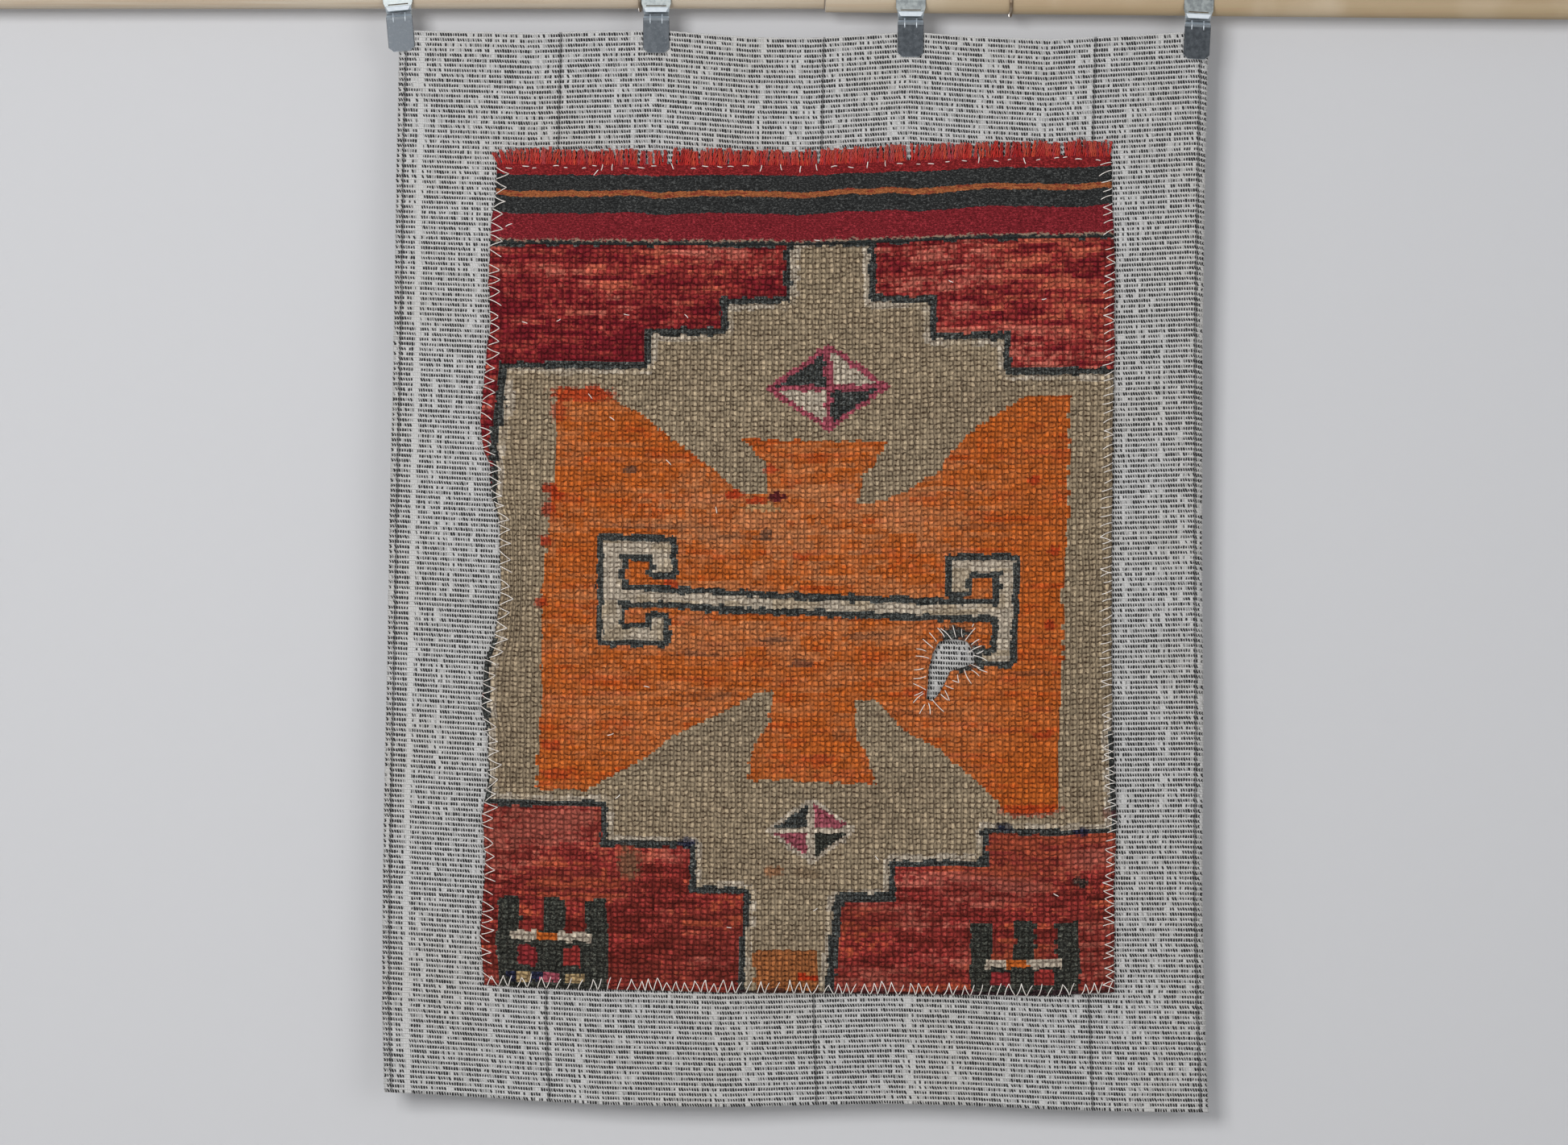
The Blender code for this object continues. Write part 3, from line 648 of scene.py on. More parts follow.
# The backing cloth, with a ridge of ground weft between each two rows of flecks
def make_backing():
    rows = marks(BACKING_ROWS, (0.0, 0.34, 0.68)) / BACKING_ROWS
    v, u = np.meshgrid(rows, np.linspace(0, 1, BACKING_COLUMNS + 1), indexing="ij")
    across, down = backing_place(u, v)
    ridge = np.cos(2 * math.pi * (v * BACKING_ROWS - 0.18))
    edge = np.zeros_like(u)
    edge[:, 0], edge[:, -1] = -1, 1
    across = across + edge * (0.0006 * ridge + 0.0005 * (noise(v * 120, u, 5) - 0.5))
    front = hang(across, down, WEFT_RIDGE * (1 - ridge) / 2)
    coarse_v, coarse_u = v[::3, ::3], u[::3, ::3]
    verts, faces = closed_sheet(front, hang(*backing_place(coarse_u, coarse_v), BACKING_THICKNESS))
    piece = new_piece("backing_weave", verts, faces, backing_material())
    across, down = np.append(u, coarse_u), np.append(v, coarse_v)
    add_vectors(piece, "weave", np.stack([across * TICKS_ACROSS, down * BACKING_ROWS, 0 * down], -1))
    return piece


# The pile's pattern, charted in knots: columns from the left edge, rows down from the flat end
MEDALLION = [
    (1.5, 23.2), (22.7, 23), (22.7, 16.5), (34, 16.3), (34, 10.2), (43.5, 10), (43.5, -2), (57, -2),
    (57, 10.3), (66, 10.8), (66, 18), (77, 18.3), (77, 25), (99, 25.5), (99, 89.5), (92.9, 92.5),
    (92.2, 97), (92.1, 116.3), (73.5, 115.5), (73.5, 122), (60, 122), (60, 129), (52.5, 129), (50.9, 149),
    (37, 149), (38, 127.5), (30, 127.5), (30, 118.7), (17, 118.7), (17, 111), (-3, 111.3), (0, 109.5),
    (-1, 102), (0, 92.5), (-0.2, 79), (-2.4, 74.5), (-2.6, 62), (-1.6, 56), (0, 47.5), (1.5, 35), (2, 31.5)]
ORANGE_FIELD = [
    (10, 28.5), (16.5, 28.5), (18.5, 30.5), (23.5, 34.5), (27, 38.5), (32, 43), (37.5, 49), (41, 49),
    (41, 43.5), (39, 40.5), (37, 38), (59, 39), (57, 43), (55, 45.5), (54.5, 51.5), (59.5, 50), (66.5, 45),
    (68.5, 40.5), (72.5, 36), (77, 32.5), (78.5, 30.7), (86, 30.7), (85.5, 34), (85.5, 52.5), (84.5, 68.5),
    (84.5, 80), (84, 94), (83.5, 111.5), (76, 111.5), (75.5, 110), (71, 104.5), (66.5, 99.5), (61, 95),
    (57, 89.5), (54, 89.5), (54, 94), (54.5, 97.5), (56, 100.5), (57, 106), (38.5, 105), (38.5, 101.5),
    (39.5, 98), (41.5, 94), (42, 87.5), (40, 88), (38, 89.5), (33, 93), (29, 95.5), (23.5, 101),
    (17.5, 105.5), (15, 107.7), (7.5, 107.7), (7.5, 101.5), (8, 92), (8, 69), (9.5, 47)]
BARS = [
    [(17, 58.5), (19.5, 58.5), (19.5, 78), (17, 78)], [(17, 58.5), (27, 58.5), (27, 61), (17, 61)],
    [(24.5, 58.5), (27, 58.5), (27, 64.5), (24.5, 64.5)], [(17.5, 75.8), (26, 75.8), (26, 78), (17.5, 78)],
    [(24.3, 73.5), (26, 73.5), (26, 78), (24.3, 78)], [(19.5, 68), (75.6, 71.5), (75.6, 73.4), (19.5, 70)],
    [(75.6, 62.6), (77.4, 62.6), (76.7, 82), (74.8, 82)],
    [(68.3, 62.4), (77.3, 62.6), (77.3, 64.8), (68.3, 64.6)],
    [(68.3, 62.4), (70.5, 62.4), (70.5, 68.5), (68.3, 68.5)],
    [(72.5, 80.8), (76.6, 80.8), (76.6, 82), (72.5, 82)]]

# Odd knots, stains and darning: colour, then column, row, half width, half height and strength of each
SPOTS = [
    (FLAME, [(14, 29.6, 4.6, 1.3, 0.85), (10.2, 33, 0.9, 2.2, 0.6), (79.8, 111, 4, 1, 0.7),
        (9.2, 48.2, 1, 0.8, 0.9), (10, 49.6, 1.1, 0.6, 0.8), (8.8, 52.2, 0.8, 1.2, 0.8),
        (8.4, 58.6, 0.7, 0.6, 0.9), (8, 70.8, 0.7, 0.9, 0.8), (36, 49.2, 1.2, 0.6, 0.9),
        (39.3, 50.4, 1.2, 0.6, 0.9), (41.5, 44.3, 0.8, 0.6, 0.8), (27, 66.9, 0.9, 0.6, 0.8),
        (46, 61.2, 1.4, 0.5, 0.5), (63, 88, 1.6, 0.6, 0.5), (80.5, 47, 0.8, 0.6, 0.8),
        (83.2, 60.5, 0.8, 0.6, 0.8), (82.5, 75, 0.7, 0.6, 0.8), (81.5, 96.5, 1.2, 0.6, 0.7),
        (9.5, 99, 1.2, 0.8, 0.7), (10.5, 104.5, 2.2, 0.7, 0.6), (49, 101, 2.4, 0.6, 0.5)]),
    (MAROON, [(42.4, 49.7, 1, 0.7, 0.95)]),
    (SAND, [(40.3, 51.6, 2.6, 0.5, 0.7)]),
    (WEAR, [(20.8, 44.3, 0.6, 0.6, 0.8), (40.9, 56.9, 0.6, 0.7, 0.8), (30.6, 80.5, 3.2, 0.35, 0.55),
        (42, 77.6, 2.2, 0.35, 0.7), (46.3, 82.4, 1.4, 0.5, 0.7), (56, 76.8, 3, 0.35, 0.45),
        (26, 55.6, 8, 0.35, 0.40), (36.5, 57.4, 6, 0.3, 0.40), (74, 55.8, 5.5, 0.3, 0.35),
        (62, 92.4, 7, 0.3, 0.35), (33, 88.6, 5, 0.3, 0.35), (80, 84.4, 3, 0.3, 0.45)]),
    (CHARCOAL, [(68.7, 76.8, 2.2, 1.3, 1), (71.9, 80.9, 1.2, 2.3, 1), (69.8, 83.3, 1.4, 0.7, 1)]),
    (STAIN, [(21.2, 121.8, 1.5, 2.8, 0.75)]),
    (OCHRE, [(42.2, 123.3, 1.3, 0.8, 0.6)]),
    (STAIN, [(47.2, 123.4, 1.8, 0.9, 0.5)]),
    (NAVY, [(29.6, 117.6, 1, 0.7, 0.9), (75.9, 114.3, 1, 0.7, 0.8), (87.1, 115.4, 0.9, 0.6, 0.9)]),
    (COMB_DARK, [(87, 125.3, 0.9, 0.7, 0.9)]),
    (MAROON, [(90.7, 112, 0.8, 0.8, 0.6)]),
    (STAIN, [(52, 96, 1.2, 1.4, 0.3)])]

# Small diamonds: middle column and row, half width, half height, edge, and quarters from the upper left
DIAMONDS = [
    (50, 28.2, 9.3, 8.7, PINK, (CHARCOAL, CREAM, CREAM, CHARCOAL)),
    (47.7, 115, 6.8, 6.7, CREAM, (CHARCOAL, ROSE, ROSE, COMB_DARK))]

# Combs: first column, top row, rows down to the bar, and the top and foot of the red squares
COMBS = [(2.2, 129.2, 6.5, 138.8, 142.7), (71, 132.8, 7, 142.3, 145.2)]
COMB_WIDE = 16
TINES = (0, 6.4, 12.6)
TINE_WIDE = 3.2
SQUARES = [(2.9, COMB_RED), (9.4, MADDER)]
SQUARE_WIDE = 2.8

# Knots under the left comb: first column, last column, colour
FOOT_KNOTS = [
    (3.6, 4.6, NAVY), (4.6, 7.2, SAND), (7.2, 8.4, NAVY), (8.4, 11.4, PINK), (12, 14.8, SAND)]


def inside(polygon, x, y):
    found = np.zeros(x.shape, bool)
    for (x0, y0), (x1, y1) in zip(polygon, polygon[1:] + polygon[:1]):
        if y0 != y1:
            crosses = ((y0 > y) != (y1 > y)) & (x < (x1 - x0) * (y - y0) / (y1 - y0) + x0)
            found ^= crosses
    return found


def reach_to(polygon, x, y):
    """Distance in millimetres from knots at x and y to a polygon's outline."""
    best = np.full(x.shape, np.inf)
    x, y = x * KNOT_WIDE, y * KNOT_HIGH
    corners = [(corner_x * KNOT_WIDE, corner_y * KNOT_HIGH) for corner_x, corner_y in polygon]
    for (x0, y0), (x1, y1) in zip(corners, corners[1:] + corners[:1]):
        wide, high = x1 - x0, y1 - y0
        share = np.clip(((x - x0) * wide + (y - y0) * high) / (wide ** 2 + high ** 2), 0, 1)
        best = np.minimum(best, np.hypot(x - x0 - share * wide, y - y0 - share * high))
    return best


def red_wool(column, row, knot_x, knot_y, chance, fuzz):
    """The red ground: madder streaked along its rows with crimson, ember and brick."""
    streak = noise(knot_x / 8.0 + 5 * hashed(np.floor(knot_y / 2), 0 * knot_y, 21), knot_y / 1.2, 22)
    strand = noise(knot_x / 3.5 + 0.7 * knot_y, knot_y / 0.8, 25)
    drift = noise(knot_x / 15.0, knot_y / 6.0, 23)
    low = smooth(95, 112, row)
    deep = 0.34 * smooth(-4, 18, row) * smooth(62, 24, column) * smooth(80, 40, row)
    deep = deep - (0.08 - 0.10 * smooth(50, 20, column)) * low + 0.20 * smooth(122, 138, row)
    share = 0.34 * streak + 0.32 * strand + 0.22 * drift + 0.20 * (chance - 0.5) + 0.16 * fuzz
    share = 0.56 + 1.6 * (share - 0.44) - deep
    warm = smooth(0.40, 0.66, noise(knot_x / 11 + 3, knot_y / 6, 24)) * np.where(row > LOWER_HALF, 1.0, 0.6)
    reds = mixed(mixed(CRIMSON, RUSSET, low), MADDER, smooth(0.18, 0.48, share))
    reds = mixed(reds, mixed(BRICK, EMBER, warm), smooth(0.46, 0.84, share))
    return mixed(reds, DEEP_RED, low * smooth(0.30, 0.75, drift) * 0.5)


def orange_wool(column, row, knot_x, knot_y, chance, other_chance):
    """The orange field, stained darker along its rows and worn to tan round its middle."""
    worn_rows = noise(0 * knot_x + 3, knot_y / 1.1, 43)
    stain = 0.55 * noise(knot_x / 4, knot_y / 1.2, 41) + 0.35 * worn_rows + 0.2 * other_chance
    orange = mixed(ORANGE, ORANGE_DARK, smooth(0.58, 0.90, stain) * 0.75)
    middle = smooth(34, 50, row) * smooth(88, 66, row) * smooth(8, 24, column) * smooth(80, 60, column)
    worn = 0.24 + 0.14 * middle - 0.16 * smooth(70, 80, column) - 0.10 * smooth(92, 104, row)
    tan = 0.55 * noise(knot_x / 4.3 + 9, knot_y / 1.3, 42) + 0.35 * noise(knot_x / 17, knot_y / 7, 44)
    tan = smooth(0.35, 0.95, tan + 0.3 * chance)
    return mixed(orange, ORANGE_TAN, np.clip(worn * 1.25 * tan, 0, 0.8))


def draw_diamonds(colours, x, y):
    for middle_x, middle_y, half_x, half_y, edge, quarters in DIAMONDS:
        dx, dy = (x - middle_x) / half_x, (y - middle_y) / half_y
        reach = np.abs(dx) + np.abs(dy)
        for index, yarn in enumerate(quarters):
            colours[(reach < 1) & ((dx > 0) == bool(index % 2)) & ((dy > 0) == (index > 1))] = yarn
        cross = (np.abs(dx) * half_x < 0.55) | (np.abs(dy) * half_y < 0.5) | (reach > 0.86)
        colours[(reach < 1) & cross] = edge


def draw_combs(colours, x, y, fuzz):
    for first, top, tine_rows, squares_top, squares_foot in COMBS:
        along = x - first
        comb = (along > 0) & (along < COMB_WIDE) & (y > top + tine_rows)
        for tine in TINES:
            comb |= (along > tine) & (along < tine + TINE_WIDE) & (y > top)
        colours[comb] = COMB_DARK
        bar = (along > 2) & (along < 13.4) & (np.abs(y - top - tine_rows - 1.0) < 0.85)
        colours[bar] = CREAM
        colours[bar & (np.abs(along - 7) < 1.6)] = ORANGE
        for left, yarn in SQUARES:
            across = (along > left) & (along < left + SQUARE_WIDE)
            colours[across & (y > squares_top) & (y < squares_foot)] = yarn
    for left, right, yarn in FOOT_KNOTS:
        colours[(x > left) & (x < right) & (np.abs(y - 145.0) < 0.9 + 0.4 * fuzz)] = yarn


def knot_colours(column, row):
    """Yarn colour at each place in the pile, and whether it lies in the medallion and in its orange field."""
    knot_x, knot_y = np.floor(column), np.floor(row)
    bit_x, bit_y = np.floor(column * 3), np.floor(row * 2)
    chance, other_chance = hashed(knot_x, knot_y, 11), hashed(knot_x, knot_y, 12)
    fuzz = hashed(bit_x, bit_y, 14) - 0.5
    x = column + (chance - 0.5) * 0.35
    y = row + (other_chance - 0.5) * 0.45
    colours = red_wool(column, row, knot_x, knot_y, chance, fuzz)
    field = inside(MEDALLION, x, y)
    depth = reach_to(MEDALLION, x, y)
    beige = mixed(BEIGE, BEIGE_DARK, noise(knot_x / 9, knot_y / 5, 31))
    colours[field] = beige[field]
    thin = np.where(row > LOWER_HALF, 0.88, 1.0)
    dark_to = np.where((row > 127) & (column > 45), 9.4, 6.6 * thin)
    pale = mixed(CREAM, BEIGE, 0.75 * smooth(0.40, 0.80, noise(knot_x / 2.5, knot_y / 1.6, 46)))
    pale_line = field & (depth < dark_to + 6.0 * thin)
    colours[pale_line] = pale[pale_line]
    colours[field & (depth < dark_to)] = CHARCOAL
    colours[y < -0.25 + 0.9 * noise(knot_x / 1.3, 0 * knot_y, 45)] = CHARCOAL
    centre = inside(ORANGE_FIELD, x, y)
    colours[centre] = orange_wool(column, row, knot_x, knot_y, chance, other_chance)[centre]
    bars, outline = np.zeros((2, *column.shape), bool)
    for bar in BARS:
        bars |= inside(bar, x, y)
        outline |= reach_to(bar, x, y) < 6.3
    for yarn, spots in SPOTS:
        for spot_x, spot_y, half_x, half_y, strength in spots:
            away = np.hypot((x - spot_x) / (half_x + 0.3), (y - spot_y) / (half_y + 0.3)) + 0.5 * fuzz
            colours = mixed(colours, yarn, strength * smooth(1.15, 0.75, away))
    colours[outline & centre] = CHARCOAL
    colours[bars] = pale[bars]
    draw_diamonds(colours, x, y)
    draw_combs(colours, x, y, fuzz)
    ochre = (x > 39.5) & (x < 48.6) & (y > 138.5)
    colours[ochre] = OCHRE
    colours[ochre & (x > 45.8) & (np.abs(y - 144.0) < 0.7)] = FLAME
    # The pile's last row on the right is darkened towards a dark purple.
    colours = mixed(colours, BOTTOM_ROW_DARK, 0.8 * ((y > 146.3) & (x > 36)))
    dark = colours.max(axis=-1) < 0.06
    colours[dark] *= (1 + 0.9 * np.maximum(0, fuzz[dark] + 0.1))[:, None]
    lively = np.where(field, 1.0, 1.3)
    tone = 1 + lively * (0.18 * (other_chance - 0.5) + 0.16 * (hashed(bit_x, bit_y, 13) - 0.5))
    return np.clip(colours * tone[..., None], 0.002, 1), field, centre


def make_pile():
    rows, columns = marks(ROWS, (0.0, 0.5)), marks(COLUMNS, (0.0, 0.22, 0.78))
    row, column = np.meshgrid(rows, columns, indexing="ij")
    i, j = np.indices(row.shape)
    last_i, last_j = len(rows) - 1, len(columns) - 1
    pad, middle = j % 3 != 0, i % 2 == 1
    knot_x, knot_y = np.minimum(j // 3, COLUMNS - 1), np.minimum(i // 2, ROWS - 1)
    height = np.where(pad, np.where(middle, 1.0, 0.68), np.where(middle, 0.22, 0.0))
    _, field, centre = knot_colours(column + 0.01, row + 0.01)
    relief = KNOT_RELIEF * np.where(field, 1.0, 0.62) * (1 - height)
    relief = relief + 0.0005 * (hashed(knot_x, knot_y, 51) - 0.5) * pad
    relief = relief + 0.00035 * (hashed(j, knot_y, 52) - 0.5)
    relief = relief + 0.0012 * (noise(column / 9, row / 12, 53) - 0.5)
    x_shift = 0.05 * (hashed(j, i // 2, 54) - 0.5) + 0.22 * (noise(j // 3, row / 5, 55) - 0.5)
    y_shift = 0.35 * (hashed(j, i, 56) - 0.5) * middle + 0.30 * (noise(column / 3, row / 2, 57) - 0.5)
    inner = (i > 0) & (i < last_i) & (j > 0) & (j < last_j)
    across, down = rug_place(column + x_shift * inner, pile_share(row + y_shift * inner))
    ragged = 0.0016 * (noise(row * 0.9, 0 * row, 58) - 0.5) + 0.0009 * (hashed(i, 0 * i, 59) - 0.5)
    across = across + ragged * ((j == last_j) * 1.0 - (j == 0) * 1.0)
    rim = np.minimum(np.minimum(i, last_i - i), np.minimum(j, last_j - j)) / 2.0
    depth = PILE_THICKNESS * np.where(rim >= 1, 1.0, np.where(rim > 0, 0.90, 0.55))
    front = hang(across, down, relief - RUG_GAP - depth)
    coarse_row, coarse_column = row[::2, ::3], column[::2, ::3]
    back = hang(*rug_place(coarse_column, pile_share(coarse_row)), -RUG_GAP)
    verts, faces = closed_sheet(front, back)
    piece = new_piece("knotted_pile", verts, faces, pile_material())
    front_row = (row[:-1, :-1] + row[1:, 1:]) / 2
    front_column = (column[:-1, :-1] + column[1:, 1:]) / 2
    back_column, back_row = np.meshgrid(np.arange(COLUMNS) + 0.5, np.arange(ROWS) + 0.5)
    rim_faces = faces[front_row.size + back_row.size:]
    centres = np.array([np.mean(verts[face], axis=0) for face in rim_faces]) / MM
    rim_row = (-centres[:, 2] - PILE_DOWN) / KNOT_HIGH
    rim_column = np.clip((centres[:, 0] - PILE_LEFT) / KNOT_WIDE, 0.5, COLUMNS - 0.5)
    face_columns = np.concatenate([front_column.ravel(), back_column.ravel(), rim_column])
    face_rows = np.concatenate([front_row.ravel(), back_row.ravel(), rim_row])
    add_colours(piece, "dye", knot_colours(face_columns, face_rows)[0])
    # How strongly painted shade darkens the gaps in each part of the pile. Its value also marks the red
    # ground.
    gap_shade_strength = np.where(centre, 0.62, np.where(field, 1.0, 0.50))
    knots = np.stack([column, row, gap_shade_strength], -1).reshape(-1, 3)
    coarse = np.stack([coarse_column, coarse_row, coarse_row * 0 + 1], -1).reshape(-1, 3)
    add_vectors(piece, "knot", np.concatenate([knots, coarse]))
    return piece


def cut_hole(piece):
    """Cuts the worn hole through the pile."""
    count = len(HOLE)
    verts = [(across * MM, y, -down * MM) for y in (-0.05, 0.01) for across, down in HOLE]
    faces = [[k, (k + 1) % count, count + (k + 1) % count, count + k] for k in range(count)]
    faces += [list(reversed(range(count))), [count + k for k in range(count)]]
    cutter = new_object("hole_cutter", verts, faces)
    add_colours(cutter, "dye", np.tile(HOLE_RIM, (len(faces), 1)))
    add_vectors(cutter, "knot", np.zeros((len(verts), 3)))
    cutter.data.materials.append(piece.data.materials[0])
    hole = piece.modifiers.new("hole", "BOOLEAN")
    hole.operation = "DIFFERENCE"
    hole.solver = "EXACT"
    hole.object = cutter
    graph = bpy.context.evaluated_depsgraph_get()
    whole = piece.data
    cut = bpy.data.meshes.new_from_object(piece.evaluated_get(graph))
    # The cut leaves the knot counts at zero, so each point takes those of the nearest old one
    values = np.zeros(len(whole.vertices) * 3, np.float32)
    whole.attributes["knot"].data.foreach_get("vector", values)
    tree = KDTree(len(whole.vertices))
    for index, vert in enumerate(whole.vertices):
        tree.insert(vert.co, index)
    tree.balance()
    nearest = [tree.find(vert.co)[1] for vert in cut.vertices]
    cut.attributes["knot"].data.foreach_set("vector", values.reshape(-1, 3)[nearest].ravel())
    piece.modifiers.clear()
    piece.data = cut
    bpy.data.meshes.remove(cutter.data)


def make_flat_end():
    column, share = np.meshgrid(
        np.linspace(0, COLUMNS, FLAT_COLUMNS + 1), np.linspace(0, PILE_SHARE, FLAT_ROWS + 1))
    i, j = np.indices(column.shape)
    across, down = rug_place(column, share)
    ribs = 0.0003 * (hashed(j, i, 61) - 0.5) + 0.0007 * (noise(column / 6, share * 120, 62) - 0.5)
    rim = np.minimum(i, np.minimum(j, FLAT_COLUMNS - j)) == 0
    ribs = ribs + np.where(rim, 0.0010, 0.0)
    front = hang(across, down, ribs - RUG_GAP - FLAT_THICKNESS)
    verts, faces = closed_sheet(front, hang(across, down, -RUG_GAP))
    piece = new_piece("flat_woven_end", verts, faces, flat_material())
    level = share / PILE_SHARE
    wave = 0.012 * np.sin(column / 3.1 + 2.4) + 0.030 * (noise(column / 3.5, 0 * column, 63) - 0.5)
    waved = level + wave * np.sin(math.pi * np.clip(level, 0, 1))
    bands = np.stack([waved, column * 2.0, level * FLAT_ROWS], -1).reshape(-1, 3)
    add_vectors(piece, "band", np.concatenate([bands, bands]))
    return piece


# The cut warp ends along the top: share of the strands up to each colour, and pixel columns of the gaps
FRINGE_DYES = [(0.46, (164, 40, 36)), (0.70, (146, 28, 31)), (0.84, (142, 46, 54)), (1, (168, 60, 42))]
FRINGE_TIP = linear((182, 98, 84))
FRINGE_GAPS = (693, 793, 804, 811, 819, 831, 840, 905, 1015, 1126, 1129, 1205, 1213, 1222, 1245, 1317, 1320)
FRINGE_STRANDS = 286
FRINGE_LEFT = -0.2690
FRINGE_RIGHT = 0.3070
FRINGE_SIDES = 5
FRINGE_STEPS = 8


def fringe_material():
    t = Tree("cut_wool_warps")
    fine = t.grain((1800, 1800, 700), 3.0, 0.6)
    colour = t.attribute("dye")["Color"]
    colour = t.tinted(t.step(0.50, 0.72, fine, 0.0, 0.5), colour, (1.9, 2.0, 2.0))
    colour = t.tinted(t.step(0.48, 0.34, fine, 0.0, 0.6), colour, (0.5, 0.4, 0.4))
    return t.finish(colour, 0.92, fine, 0.0003, 0.7, Specular_IOR_Level=0.12)


def make_fringe():
    rng = random.Random(7)
    plies, colours = [], []
    for index in range(FRINGE_STRANDS):
        across = FRINGE_LEFT + (index + 0.5) / FRINGE_STRANDS * (FRINGE_RIGHT - FRINGE_LEFT)
        top = end_at(RUG_TOP, across / MM) * MM
        clump = float(noise(index / 9.0, 0, 64))
        length = rng.uniform(0.0122, 0.0156) * (0.92 + 0.16 * clump)
        lean = 0.30 * (float(noise(index / 7.0, 0, 65)) - 0.45)
        lean += rng.uniform(-0.12, 0.12) - 0.6 * max(0, 1 - index / 8)
        bend = rng.uniform(-0.0014, 0.0014)
        out = rng.uniform(0.0002, 0.0036)
        turn = rng.uniform(0, 6.28)
        pick = rng.random()
        base = linear(next(rgb for limit, rgb in FRINGE_DYES if pick <= limit)) * rng.uniform(0.72, 1.15)
        frayed = rng.uniform(0.1, 0.75)
        if min(abs(MIDDLE_COLUMN + across / MM / PIXEL - gap) for gap in FRINGE_GAPS) < 1.5:
            continue
        shades = [mixed(base, FRINGE_TIP, frayed * (0.10 + 0.70 * step / FRINGE_STEPS))
                  for step in range(FRINGE_STEPS)]
        for ply in (0, math.pi):
            path = []
            for t in np.linspace(0, 1, FRINGE_STEPS + 1):
                x = across + length * t * math.sin(lean) + bend * t * t
                down = top + 0.0022 - (length + 0.0012) * t * math.cos(lean)
                y = cloth_front(x, down) - RUG_GAP - 0.0012 - out * t
                angle = turn + ply + t * 7.0
                spread = 0.00050 * (1 + 0.8 * t)
                path.append((x + spread * math.cos(angle), y + spread * math.sin(angle), -down))
            plies.append(path)
            colours += [shade for shade in shades for side in range(FRINGE_SIDES)] + [shades[0], shades[-1]]
    verts, faces = tubes(plies, 0.00084, FRINGE_SIDES, 0.8)
    piece = new_piece("cut_fringe", verts, faces, fringe_material())
    add_colours(piece, "dye", np.array(colours))
    return piece


# The white sewing: lengths of its whip stitches, least and most, in metres
STITCH_OUT = 0.0012
STITCH_ARCH = 0.0007
STITCH_STEPS = 7
LEFT_PITCH = (0.0095, 0.0150)
LEFT_REACH = (0.0085, 0.0125)
RIGHT_PITCH = (0.0064, 0.0090)
RIGHT_REACH = (0.0080, 0.0118)
RIGHT_DROP = (0.0025, 0.0060)
BOTTOM_PITCH = (0.0070, 0.0110)
BOTTOM_REACH = (0.0080, 0.0125)


def surface_y(across, down):
    """Depth of whatever is in front at a place: the pile, the flat end or the backing."""
    base = float(cloth_front(across, down))
    x, z = across / MM, down / MM
    if side_at(RUG_LEFT, z) < x < side_at(RUG_RIGHT, z) and end_at(RUG_TOP, x) < z < end_at(RUG_BOTTOM, x):
        on_pile = (z - RUG_DOWN) / RUG_HIGH > PILE_SHARE + 0.004
        return base - RUG_GAP - (PILE_THICKNESS if on_pile else FLAT_THICKNESS)
    return base


def from_pixel(x, y):
    """Metres across and down of a place in the photo."""
    return (x - MIDDLE_COLUMN) * PIXEL * MM, (y + ROWS_ABOVE) * PIXEL * MM


def stitch(start, end):
    """A thread between two places, given in metres across and down."""
    path = []
    wide, high = end[0] - start[0], end[1] - start[1]
    for t in np.linspace(0, 1, STITCH_STEPS + 1):
        bow = 0.06 * math.sin(start[0] * 917 + end[1] * 531) * math.sin(math.pi * t)
        across = start[0] + wide * t + high * bow
        down = start[1] + high * t - wide * bow
        lift = STITCH_ARCH * math.sin(math.pi * t) ** 0.6 if 0 < t < 1 else -0.0003
        path.append([across, surface_y(across, down) - lift, -down])
    depths = [point[1] for point in path]
    for index in range(1, STITCH_STEPS):
        path[index][1] = min(depths[index], (depths[index - 1] + depths[index + 1]) / 2)
    return path


